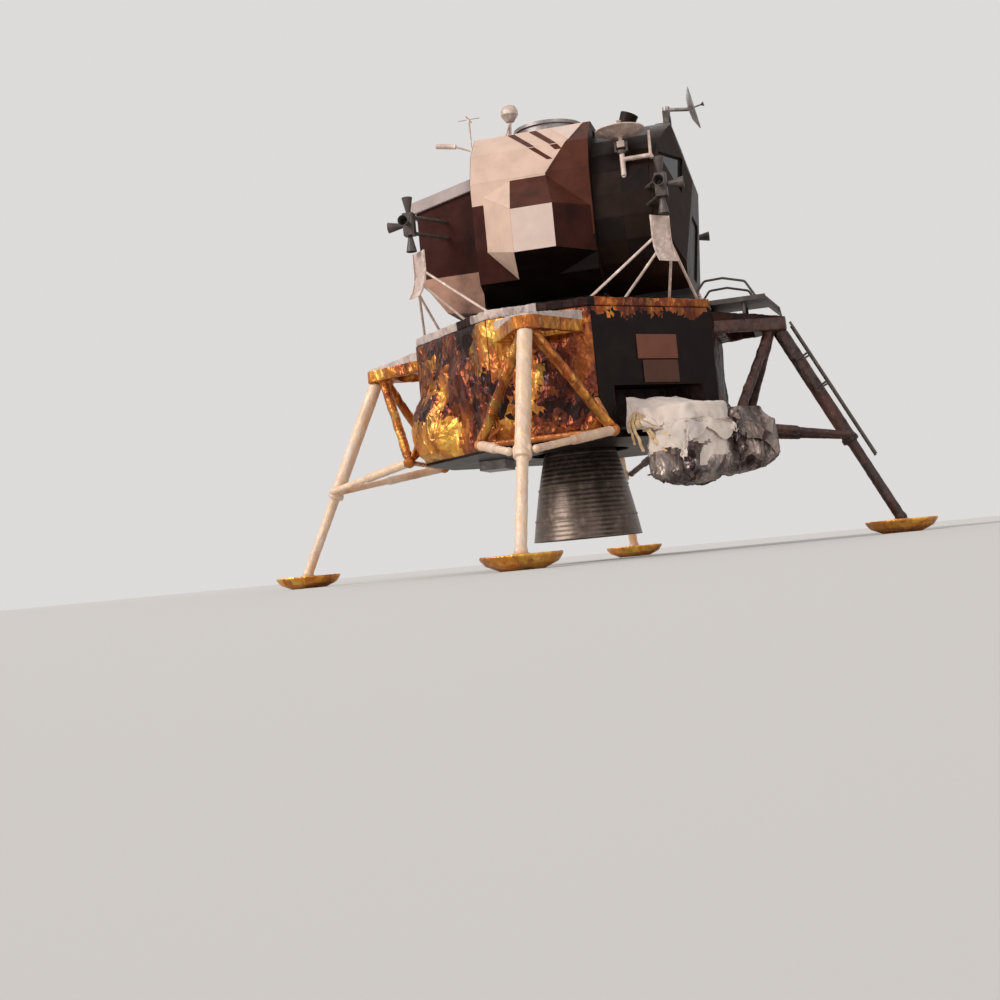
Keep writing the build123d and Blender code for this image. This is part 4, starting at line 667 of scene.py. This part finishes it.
def plate(target, points, normal, index, seed, inset=0.006, lift=PLATE_LIFT, depth=0.004, riveted=True):
    """Thin buckled plate over a flat polygon, inset from its edges, with a rim."""
    bm = bmesh.new()
    face = bm.faces.new([bm.verts.new(p) for p in points])
    ring = bmesh.ops.inset_individual(bm, faces=[face], thickness=inset, use_even_offset=True)["faces"]
    bmesh.ops.delete(bm, geom=[f for f in ring if f != face], context="FACES")
    corners = [v.co.copy() for v in bm.faces[:][0].verts]
    along = (corners[1] - corners[0]).normalized()
    for way in (along, normal.cross(along)):
        reach = [p.dot(way) for p in corners]
        for k in range(1, ceil((max(reach) - min(reach)) / PLATE_CELL)):
            at = way * (min(reach) + k * PLATE_CELL)
            everything = bm.verts[:] + bm.edges[:] + bm.faces[:]
            bmesh.ops.bisect_plane(bm, geom=everything, plane_co=at, plane_no=way)
    bmesh.ops.triangulate(bm, faces=bm.faces[:])
    border = [e for e in bm.edges if len(e.link_faces) == 1]
    rim = {v for e in border for v in e.verts}
    for v in bm.verts:
        inner = 0.0 if v in rim else depth * crumple(v.co, PLATE_CRUMPLE, seed)
        v.co += normal * (lift + inner)
    turned_in(bm, border, normal, lambda co: lift - RIM_LIFT)
    for item in bm.faces:
        item.material_index = index
    mesh = mesh_of("plate", bm)
    target.from_mesh(mesh)
    bpy.data.meshes.remove(mesh)
    if riveted:
        rivet_rows(target, corners, normal, lift, index)


SIGNS = (
    # blank plates on the front-right side: u low, u high, z low, z high, finish
    (-0.31, 0.34, 2.545, 2.86, "sign_red"),
    (-0.24, 0.33, 2.235, 2.525, "sign_grey"),
)
SIGN_OUT = 0.018


def signs():
    bm = bmesh.new()
    for number, (low, high, bottom, top, _) in enumerate(SIGNS):
        spots = ((low, bottom), (high, bottom), (high, top), (low, top))
        corners = [on_side(FRONT_RIGHT, u, z, SIGN_OUT) for u, z in spots]
        plate(bm, corners, FRONT_RIGHT[2], number, number, inset=0.002, lift=0.006, depth=0.005,
              riveted=False)
    return piece("blank_signs", bm, [sign[-1] for sign in SIGNS])


signs()


# Films of the landing gear and the deck's edge

GEAR_FILMS = {
    # leg: outrigger side, outrigger top, primary strut, side struts, braces, footpad
    # the front leg's dark films are painted shade; the other legs carry the same wraps lit
    "front": ("wrap_dark", "foil_night", "wrap_dark", "wrap_dark", "wrap_dark", "foil_gold"),
    "left": ("foil_rust", "foil_night", "wrap", "wrap_dark", "foil_rust", "foil_gold"),
    "rear": ("foil_amber", "foil_pale", "wrap", "wrap", "foil_amber", "foil_gold"),
    "right": ("foil_amber", "foil_pale", "wrap", "wrap", "wrap_amber", "foil_gold"),
}
GEAR_FORMS = (
    # node, voxel, crumple depth and size, first seed
    ("primary_strut", 0.017, 0.008, 0.09, 20),
    ("side_struts", 0.017, 0.008, 0.09, 30),
    ("deployment_truss", 0.015, 0.010, 0.08, 40),
    ("footpad", 0.014, 0.006, 0.10, 50),
)
OUTRIGGER_TOP_Z = 3.06


def outrigger_film(leg, side_key, top_key):
    def choose(normal, centre):
        return top_key if centre.z > OUTRIGGER_TOP_Z or normal.z > 0.7 else side_key

    return wrapped(f"outrigger_{leg}", voxel=0.021, depth=0.024, size=0.14, seed=3,
                   keys=[side_key, top_key], choose=choose)


for number, (leg, (side_key, top_key, *films)) in enumerate(GEAR_FILMS.items()):
    outrigger_film(leg, side_key, top_key)
    for (node, voxel, depth, size, seed), key in zip(GEAR_FORMS, films):
        wrapped(f"{node}_{leg}", voxel, depth, size, seed + number, [key])


# Borders of the deck edge's finishes
RIM_GAP = (0.22, 0.60)
RIM_RIGHT_X = -0.55
RIM_FRONT_X = -0.40
RIM_PALE_Y = 0.02
RIM_DARK_Y = -0.74


def rim_choice(normal, centre):
    """Pale cloth on the right and rear of the deck's edge, with dark gaps, and orange film farther ahead."""
    along = (centre - REAR_RIGHT[0]).dot(REAR_RIGHT[1])
    if centre.x < 0 < centre.y and RIM_GAP[0] < along < RIM_GAP[1]:
        return "foil_night"
    if (centre.x < RIM_RIGHT_X and centre.y > RIM_PALE_Y) or (normal.z > 0.6 and centre.y > 0):
        return "foil_pale"
    if centre.x < RIM_RIGHT_X and centre.y > RIM_DARK_Y:
        return "foil_night"
    return "foil_rust" if centre.x < RIM_FRONT_X else "foil_night"


wrapped("deck_rim", voxel=0.024, depth=0.026, size=0.17, seed=60,
        keys=["foil_pale", "foil_rust", "foil_night"], choose=rim_choice)


# Plates of the ascent stage

ASCENT_KEYS = ["panel_pale", "panel_cream", "panel_brown", "panel_black", "panel_red", "panel_night",
               "panel_blush", "panel_slab", "panel_smoke"]
SAME_PLACE = 1e-5
SAME_FACE = radians(0.6)


def flat_faces(node, least, cut_z=None):
    """Outlines, normals and centres of a node's flat faces over a least area, cut at a height where asked."""
    bm = bmesh.new()
    bm.from_mesh(NODES[node].data)
    bmesh.ops.remove_doubles(bm, verts=bm.verts, dist=SAME_PLACE)
    bmesh.ops.dissolve_limit(bm, angle_limit=SAME_FACE, verts=bm.verts, edges=bm.edges)
    if cut_z:
        everything = bm.verts[:] + bm.edges[:] + bm.faces[:]
        bmesh.ops.bisect_plane(bm, geom=everything, plane_co=(0, 0, cut_z), plane_no=UP)
    found = []
    for face in bm.faces:
        if face.calc_area() >= least:
            found.append(([v.co.copy() for v in face.verts], face.normal.copy(), face.calc_center_bounds()))
    bm.free()
    return found


def plated(node, least, choose, cut_z=None, **options):
    """Plates over a node's flat faces; choose gives each face's material, or None to leave it bare."""
    bm = bmesh.new()
    for number, (points, normal, centre) in enumerate(flat_faces(node, least, cut_z)):
        key = choose(normal, centre)
        if key:
            plate(bm, points, normal, ASCENT_KEYS.index(key), number + 1, **options)
    return piece(f"{node}_plates", bm, ASCENT_KEYS, BODY_OF[node])


def fairing_painted_light(side):
    """Colours by the way each face turns, as painted light: pale on the outer face and cream to the rear as
    painted sunlight, painted shade in brown above and ahead, in black below and in red elsewhere.
    """
    def choose(normal, centre):
        out = normal.x if side == "left" else -normal.x
        if out < 0.05 and abs(normal.y) < 0.5 and abs(normal.z) < 0.9:
            return None
        if out > 0.98:
            return "panel_pale"
        if normal.y > 0.15:
            return "panel_cream"
        if normal.z > 0.3:
            return "panel_brown"
        return "panel_black" if normal.z < -0.3 else "panel_red"
    return choose


for side in ("right", "left"):
    plated(f"tank_fairing_{side}", 0.02, fairing_painted_light(side))

# Middle bay: half of its section, as half width and height upwards, and the patches on its facets, cream to
# the rear as painted sunlight and brown ahead as painted shade
BAY_SECTION = ((0.820, 3.600), (1.250, 3.850), (1.320, 4.300), (1.320, 5.200), (1.150, 5.620), (0.800, 5.950))
BAY_FRONT = -0.728
BAY_REAR = 0.898
BAY_PATCHES = (
    # finish, corners as y and z on one facet of the section
    ("panel_black", ((BAY_FRONT, 3.60), (BAY_REAR, 3.60), (BAY_REAR, 3.85), (BAY_FRONT, 3.85))),
    ("panel_black", ((BAY_FRONT, 3.85), (0.30, 3.85), (0.30, 4.30), (BAY_FRONT, 4.30))),
    ("panel_red", ((0.30, 3.85), (BAY_REAR, 3.85), (BAY_REAR, 4.30), (0.30, 4.30))),
    ("panel_red", ((0.60, 4.30), (BAY_REAR, 4.30), (BAY_REAR, 4.90), (0.60, 4.90))),
    ("panel_cream", ((0.38, 4.90), (BAY_REAR, 4.90), (BAY_REAR, 5.20), (0.38, 5.20))),
    ("panel_brown", ((BAY_FRONT, 4.30), (-0.60, 4.30), (-0.14, 5.20), (BAY_FRONT, 5.20))),
    ("panel_cream", ((-0.14, 5.165), (0.38, 5.165), (0.38, 5.20), (-0.14, 5.20))),
    ("panel_cream", ((-0.14, 5.20), (0.40, 5.20), (0.40, 5.62), (-0.418, 5.62))),
    ("panel_cream", ((0.40, 5.20), (BAY_REAR, 5.20), (BAY_REAR, 5.62), (0.40, 5.62))),
    ("panel_brown", ((BAY_FRONT, 5.20), (-0.14, 5.20), (-0.418, 5.62), (BAY_FRONT, 5.62))),
    ("panel_cream", ((-0.418, 5.62), (0.40, 5.62), (0.40, 5.95), (-0.63, 5.95))),
    ("panel_cream", ((0.40, 5.62), (BAY_REAR, 5.62), (BAY_REAR, 5.95), (0.40, 5.95))),
    ("panel_brown", ((BAY_FRONT, 5.62), (-0.418, 5.62), (-0.63, 5.95), (BAY_FRONT, 5.95))),
)
BAY_PAINTED_SHADOWS_AND_HIGHLIGHT = (
    # finish and corners of painted light on the right side's patches: a pale painted highlight and brown
    # painted shadow stripes
    ("panel_pale", ((-0.46, 5.66), (-0.17, 5.93), (-0.62, 5.93))),
    ("panel_brown", ((0.01, 5.63), (0.09, 5.63), (0.42, 5.93), (0.33, 5.93))),
    ("panel_brown", ((-0.24, 5.40), (-0.17, 5.40), (0.08, 5.61), (0.00, 5.61))),
    ("panel_brown", ((-0.29, 5.63), (-0.20, 5.63), (0.12, 5.93), (0.02, 5.93))),
    ("panel_brown", ((-0.37, 5.53), (-0.28, 5.53), (-0.21, 5.61), (-0.31, 5.61))),
)
STRIPE_LIFT = 0.012


def bay_half_width(z):
    """Half width of the middle bay's section at a height."""
    for (wide, low), (next_wide, high) in zip(BAY_SECTION, BAY_SECTION[1:]):
        if low <= z <= high:
            return wide + (next_wide - wide) * (z - low) / (high - low)


def bay_patch(bm, sign, key, spots, seed, **options):
    """Plate on the middle bay's side that the sign of x gives."""
    corners = [Vector((sign * bay_half_width(z), y, z)) for y, z in spots]
    normal = (corners[1] - corners[0]).cross(corners[2] - corners[0]).normalized()
    if normal.x * sign < 0:
        corners.reverse()
        normal = -normal
    plate(bm, corners, normal, ASCENT_KEYS.index(key), seed, **options)


def bay_plates():
    """Plates laid on the middle bay's two sides, with painted shadow stripes and a painted highlight on the
    right one.
    """
    bm = bmesh.new()
    for sign in (-1, 1):
        for number, (key, spots) in enumerate(BAY_PATCHES):
            bay_patch(bm, sign, key, spots, number + 1)
        if sign < 0:
            for number, (key, spots) in enumerate(BAY_PAINTED_SHADOWS_AND_HIGHLIGHT, len(BAY_PATCHES)):
                bay_patch(bm, sign, key, spots, number + 1, lift=STRIPE_LIFT, inset=0.002, riveted=False)
    return piece("midsection_plates", bm, ASCENT_KEYS)


def midsection_choice(normal, centre):
    """Smoke on the roof, red on the rear wall."""
    if normal.z > 0.9 and centre.z > 5.9:
        return "panel_smoke"
    return "panel_red" if normal.y > 0.9 and centre.y > 0.85 else None


AFT_PALE_Z = 4.06


def aft_choice(normal, centre):
    """Sides in dark red as painted shade over blush ones, and a black rear."""
    if normal.y < -0.5 or normal.z > 0.5:
        return None
    if normal.z < -0.4 or (abs(normal.x) > 0.5 and centre.z < AFT_PALE_Z):
        return "panel_blush"
    return "panel_red" if abs(normal.x) > 0.5 else "panel_night"


bay_plates()
plated("midsection", 0.05, midsection_choice)
plated("aft_bay", 0.05, aft_choice, AFT_PALE_Z)
plated("aft_roof", 0.03, lambda n, c: None if n.y < -0.5 else "panel_slab")
plated("cabin_front", 0.03, lambda n, c: "panel_night" if n.y < -0.5 else None)
plated("forward_hatch", 0.03, lambda n, c: "panel_black" if n.y < -0.5 else None, inset=0.03)
plated("kit_bay_door", 0.10, lambda n, c: "panel_black" if n.y > 0.3 and n.x > 0.3 else None, inset=0.03)

# Shield plates round the cabin: borders of their rows, count and angles round, lowest and highest point
SHIELD_YS = (-1.495, -1.115, -0.735)
SHIELD_COUNT = 20
SHIELD_START = radians(-52)
SHIELD_SWEEP = radians(284)
SHIELD_LOW = 3.57
SHIELD_HIGH = 5.835
SHIELD_GAP = 0.001


def cabin_plates():
    """Thermal shield plates round the cabin's wall."""
    bm = bmesh.new()
    for k in range(SHIELD_COUNT):
        one = SHIELD_START + SHIELD_SWEEP * k / SHIELD_COUNT
        two = SHIELD_START + SHIELD_SWEEP * (k + 1) / SHIELD_COUNT
        middle = (one + two) / 2
        normal = Vector((cos(middle), 0, sin(middle)))
        reach = CABIN_R / cos((two - one) / 2) + SHIELD_GAP
        for row, (y_low, y_high) in enumerate(zip(SHIELD_YS, SHIELD_YS[1:])):
            corners = []
            for angle, y in ((one, y_low), (one, y_high), (two, y_high), (two, y_low)):
                corners.append(Vector((reach * cos(angle), y, CABIN_Z + reach * sin(angle))))
            if max(c.z for c in corners) > SHIELD_HIGH or min(c.z for c in corners) < SHIELD_LOW:
                continue
            if (corners[1] - corners[0]).cross(corners[2] - corners[0]).dot(normal) < 0:
                corners.reverse()
            key = "panel_night" if (k + row) % 3 else "panel_black"
            plate(bm, corners, normal, ASCENT_KEYS.index(key), k + 1, inset=0.004, depth=0.003)
    return piece("cabin_shell_plates", bm, ASCENT_KEYS)


cabin_plates()


# Soft goods on the lowered pallet

SOFT_FRAMES = 14


def swollen(node, voxel, start_in, pressure, cap, depth, size, seed):
    """Soft node's form, shrunk, blown up as cloth, and crumpled half before that and half after."""
    obj = remeshed("soft_form", node, voxel)
    for v, normal in zip(obj.data.vertices, normals_of(obj.data)):
        v.co += normal * (0.5 * depth * (crumple(v.co, size, seed) - 0.5) - start_in)
    start = [v.co.copy() for v in obj.data.vertices]
    settings = obj.modifiers.new("cloth", "CLOTH").settings
    settings.use_pressure = True
    settings.uniform_pressure_force = pressure
    settings.effector_weights.gravity = 0
    settings.quality = 4
    for number in range(1, SOFT_FRAMES + 1):
        bpy.context.scene.frame_set(number)
    applied(obj)
    bpy.context.scene.frame_set(1)
    for v, origin in zip(obj.data.vertices, start):
        moved = v.co - origin
        if moved.length > cap:
            v.co = origin + moved * (cap / moved.length)
    crumpled(obj.data, 0.5 * depth, 0.5 * size, seed + 1, 0.6)
    return obj


def soft(name, node, obj, keys, choose):
    """Padded piece in place of a soft node."""
    obj.name = name
    dress(obj.data, keys, choose)
    shaded(obj.data, False)
    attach(obj, BODY_OF[node])
    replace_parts(obj, node)
    return obj


BUNDLE_DARK_U = 0.02
BUNDLE_DARK_Z = 1.18


def bundle_choice(normal, centre):
    """Dark film to the front and underneath, pale cloth on the rest."""
    u = (centre - FRONT_RIGHT[0]).dot(FRONT_RIGHT[1])
    wander = noise.noise(centre * 3.5) * 0.14
    dark = u + wander > BUNDLE_DARK_U or centre.z + 2.0 * wander < BUNDLE_DARK_Z
    return "dark_film" if dark else "linen"


bundle = swollen("mesa_blankets", voxel=0.024, start_in=0.022, pressure=3.0, cap=0.030, depth=0.15,
                 size=0.42, seed=5)
soft("pallet_blankets", "mesa_blankets", bundle, ["linen", "dark_film"], bundle_choice)
bag = swollen("mesa_bag", voxel=0.014, start_in=0.012, pressure=3.0, cap=0.016, depth=0.03, size=0.20, seed=9)
soft("sample_bag", "mesa_bag", bag, ["linen"], None)

# Sheets that fall over the bag, the racks and the bundles, past the pallet's ends and outer edge
Sheet = namedtuple("Sheet", "name finish aside reach start_z cell gap held_from seed below")
SHEETS = (
    # aside and reach are its level spans at the start, held_from is where its inner edge is first held
    Sheet("pallet_cover", "linen", (-1.06, 0.20), (0.06, 1.70), 2.03, 0.021, 0.026, -0.60, 1.3,
          ["pallet_blankets", "sample_bag"]),
    Sheet("pallet_film", "dark_film", (0.06, 1.02), (0.34, 1.72), 1.80, 0.024, 0.012, 0.06, 0.6,
          ["pallet_blankets"]),
)
SHEET_SPARE = 0.06
SHEET_FRAMES = 44
SHEET_CREASES = {"depth": 0.022, "size": 0.15, "seed": 3, "inward": 0.4}
HEM_WANDER = 0.16
START_WAVE = 0.05
SMOOTH_STEPS = 3
SMOOTH_SHARE = 0.4
PROPS = (
    # stand-ins under the sheets, as aside, outward and z spans: the tray, the racks and two padded heaps
    ((-0.70, 0.70), (0.00, 0.59), (1.62, 1.675)),
    ((-0.62, 0.62), (0.00, 0.475), (1.665, 1.82)),
    ((-0.52, 0.12), (0.60, 1.10), (1.55, 1.80)),
    ((0.22, 0.62), (0.62, 1.18), (1.50, 1.73)),
)


def prop(spans):
    """Plain stand-in block for what lies under the sheets."""
    bm = bmesh.new()
    for u in spans[0]:
        for out in spans[1]:
            for z in spans[2]:
                bm.verts.new(on_side(FRONT_RIGHT, u, z, out))
    bmesh.ops.convex_hull(bm, input=bm.verts[:])
    bmesh.ops.recalc_face_normals(bm, faces=bm.faces[:])
    return placed("prop", mesh_of("prop", bm))


def flat_sheet(row):
    """Level sheet with a wandering hem, held along its inner edge, with its cloth settings."""
    left, right = row.aside
    inner, outer = row.reach
    across = round((right - left) / row.cell)
    along = round((outer - inner) / row.cell)
    bm = bmesh.new()
    lines = []
    for k in range(along + 1):
        line = []
        for i in range(across + 1):
            u = left + (right - left) * i / across
            hem = 1.0 + HEM_WANDER * noise.noise(Vector((u * 2.6, 3.0, row.seed * 1.8)))
            out = inner + (outer - inner) * hem * k / along
            lift = START_WAVE * noise.noise(Vector((u * 3.2, out * 3.2, row.seed)))
            line.append(bm.verts.new(on_side(FRONT_RIGHT, u, row.start_z + lift, out)))
        lines.append(line)
    for one, two in zip(lines, lines[1:]):
        for i in range(across):
            bm.faces.new((one[i], one[i + 1], two[i + 1], two[i]))
    sheet = piece(row.name, bm, [row.finish], BODY_OF["mesa_blankets"], True)
    held = sheet.vertex_groups.new(name="held")
    held.add([i for i in range(across + 1) if left + i * row.cell >= row.held_from], 1.0, "REPLACE")
    modifier = sheet.modifiers.new("cloth", "CLOTH")
    modifier.collision_settings.distance_min = row.gap
    modifier.point_cache.frame_end = SHEET_FRAMES
    settings = modifier.settings
    settings.quality = 6
    settings.mass = 0.35
    settings.air_damping = 1.5
    settings.bending_stiffness = 0.15
    settings.shrink_min = -SHEET_SPARE
    settings.vertex_group_mass = "held"
    return sheet


def let_fall(sheets):
    """Runs the cloth of the sheets together over what lies below, and gives them the meshes that it makes."""
    props = [prop(spans) for spans in PROPS]
    below = (*props, bundle, bag)
    for obj in below:
        obj.modifiers.new("collision", "COLLISION")
        obj.collision.thickness_outer = 0.004
    for number in range(1, SHEET_FRAMES + 1):
        bpy.context.scene.frame_set(number)
    graph = bpy.context.evaluated_depsgraph_get()
    for sheet in sheets:
        old = sheet.data
        sheet.data = bpy.data.meshes.new_from_object(sheet.evaluated_get(graph))
        bpy.data.meshes.remove(old)
    for obj in below:
        obj.modifiers.clear()
    for block in props:
        bpy.data.objects.remove(block)
    bpy.context.scene.frame_set(1)


def eased(mesh):
    """Smooths a sheet a little, with its hem as it was."""
    bm = bmesh.new()
    bm.from_mesh(mesh)
    inner = [v for v in bm.verts if not v.is_boundary]
    for _ in range(SMOOTH_STEPS):
        bmesh.ops.smooth_vert(bm, verts=inner, factor=SMOOTH_SHARE, use_axis_x=True, use_axis_y=True,
                              use_axis_z=True)
    bm.to_mesh(mesh)
    bm.free()


def folded(obj):
    """Piece with a mesh of its own."""
    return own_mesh(obj)


def fallen_sheets():
    """Both sheets, let fall together onto what lies below, then creased."""
    sheets = [flat_sheet(row) for row in SHEETS]
    let_fall(sheets)
    for sheet, row in zip(sheets, SHEETS):
        sheet.modifiers.clear()
        sheet.vertex_groups.clear()
        eased(sheet.data)
        crumpled(sheet.data, **SHEET_CREASES)
        folded(sheet)
    return sheets


cover = fallen_sheets()[0]

STRAPS = (
    # outward place at the top and bottom, top z, bottom z, width
    (0.26, 0.34, 1.80, 1.40, 0.045),
    (0.30, 0.50, 1.82, 1.30, 0.060),
    (0.36, 0.66, 1.80, 1.36, 0.040),
    (0.40, 0.84, 1.78, 1.26, 0.055),
    (0.46, 1.00, 1.76, 1.44, 0.035),
)
STRAP_STEPS = 18
STRAP_THICK = 0.004
STRAP_GAP = 0.016
STRAP_SWAY = 0.035
STRAP_BOW = 1.3
STRAP_START_U = -0.76
RAY_START_U = -1.6


def strip(bm, points, width_way, half, thick_way, thick):
    """Flat strap along points."""
    section = ((-half, 0), (half, 0), (half, thick), (-half, thick))
    rows = [[bm.verts.new(p + width_way * a + thick_way * b) for a, b in section] for p in points]
    for one, two in zip(rows, rows[1:]):
        for k in range(4):
            bm.faces.new((one[k], one[(k + 1) % 4], two[(k + 1) % 4], two[k]))
    bm.faces.new(rows[0][::-1])
    bm.faces.new(rows[-1])


def straps():
    """Straw-coloured straps that fan out down the left end of the cover and lie on it."""
    origin, level, out_way = FRONT_RIGHT
    bm = bmesh.new()
    mesh = cover.data
    tree = BVHTree.FromPolygons([v.co for v in mesh.vertices], [p.vertices for p in mesh.polygons])
    for number, (top_out, low_out, top, low, wide) in enumerate(STRAPS):
        points = []
        u = STRAP_START_U
        for k in range(STRAP_STEPS + 1):
            t = k / STRAP_STEPS
            sway = STRAP_SWAY * noise.noise(Vector((t * 5.0, number, 1.0)))
            out = top_out + (low_out - top_out) * t ** STRAP_BOW + sway
            z = top + (low - top) * t
            hit = tree.ray_cast(on_side(FRONT_RIGHT, RAY_START_U, z, out), level)[0]
            if hit:
                u = (hit - origin).dot(level) - STRAP_GAP
            points.append(on_side(FRONT_RIGHT, u, z, out))
        strip(bm, points, out_way, wide / 2, -level, STRAP_THICK)
    return folded(piece("pallet_straps", bm, ["strap"], BODY_OF["mesa_blankets"]))


straps()


# Floor, lights and camera

FLOOR_HALF = 600
FLOOR_COLOUR = (0.62, 0.60, 0.58, 1)
AMBIENT_COLOUR = (1, 0.985, 0.97, 1)
AMBIENT_STRENGTH = 0.40
BACKDROP_COLOUR = (0.72, 0.71, 0.70, 1)
LIT_POINT = Vector((0, 0, 3))
LAMPS = (
    # name, place that it shines from, angular width, strength, colour
    ("key", (-12, 13, 13), 28, 2.3, (1.0, 0.97, 0.93)),
    ("fill", (-16, -14, 10), 50, 0.7, (0.97, 0.98, 1.0)),
    ("back", (12, 4, 13), 50, 0.8, (1.0, 1.0, 1.0)),
)
# The photograph's camera, as solved from its picture
CAMERA_PLACE = (-19.3039, -3.5167, 0.10)
CAMERA_TURN = Quaternion((0.522845, 0.589422, -0.418497, -0.451747))
CAMERA_LENS = 50.04
CAMERA_SENSOR = 36
CAMERA_FAR = 2000


def floor():
    bm = bmesh.new()
    bmesh.ops.create_grid(bm, x_segments=1, y_segments=1, size=FLOOR_HALF)
    mesh = mesh_of("floor", bm)
    material = bpy.data.materials.new("floor")
    material.use_nodes = True
    shader = material.node_tree.nodes["Principled BSDF"]
    shader.inputs["Base Color"].default_value = FLOOR_COLOUR
    shader.inputs["Roughness"].default_value = 0.9
    shader.inputs["Specular IOR Level"].default_value = 0.1
    mesh.materials.append(material)
    placed("floor", mesh)


def lamp(name, place, width, strength, colour):
    """Distant soft lamp that shines from a place towards the part."""
    data = bpy.data.lights.new(name, "SUN")
    data.angle = radians(width)
    data.energy = strength
    data.color = colour
    obj = placed(name, data)
    obj.location = place
    obj.rotation_mode = "QUATERNION"
    obj.rotation_quaternion = (LIT_POINT - Vector(place)).to_track_quat("-Z", "Y")


def sky():
    """Soft ambient light, with a pale backdrop for the camera and in what metal and glass reflect."""
    world = bpy.data.worlds.new("world")
    bpy.context.scene.world = world
    world.use_nodes = True
    tree = world.node_tree
    ambient = tree.nodes["Background"]
    ambient.inputs["Color"].default_value = AMBIENT_COLOUR
    ambient.inputs["Strength"].default_value = AMBIENT_STRENGTH
    backdrop = tree.nodes.new("ShaderNodeBackground")
    backdrop.inputs["Color"].default_value = BACKDROP_COLOUR
    path = tree.nodes.new("ShaderNodeLightPath")
    seen = path.outputs["Is Camera Ray"]
    for ray in ("Is Glossy Ray", "Is Transmission Ray"):
        either = tree.nodes.new("ShaderNodeMath")
        either.operation = "MAXIMUM"
        tree.links.new(seen, either.inputs[0])
        tree.links.new(path.outputs[ray], either.inputs[1])
        seen = either.outputs[0]
    mix = tree.nodes.new("ShaderNodeMixShader")
    tree.links.new(seen, mix.inputs["Fac"])
    tree.links.new(ambient.outputs[0], mix.inputs[1])
    tree.links.new(backdrop.outputs[0], mix.inputs[2])
    tree.links.new(mix.outputs[0], tree.nodes["World Output"].inputs["Surface"])


def add_camera():
    data = bpy.data.cameras.new("camera")
    data.lens = CAMERA_LENS
    data.sensor_width = CAMERA_SENSOR
    data.clip_end = CAMERA_FAR
    camera = placed("camera", data)
    camera.location = CAMERA_PLACE
    camera.rotation_mode = "QUATERNION"
    camera.rotation_quaternion = CAMERA_TURN
    bpy.context.scene.camera = camera


floor()
for row in LAMPS:
    lamp(*row)
sky()
add_camera()
bpy.context.scene.view_settings.view_transform = "Standard"
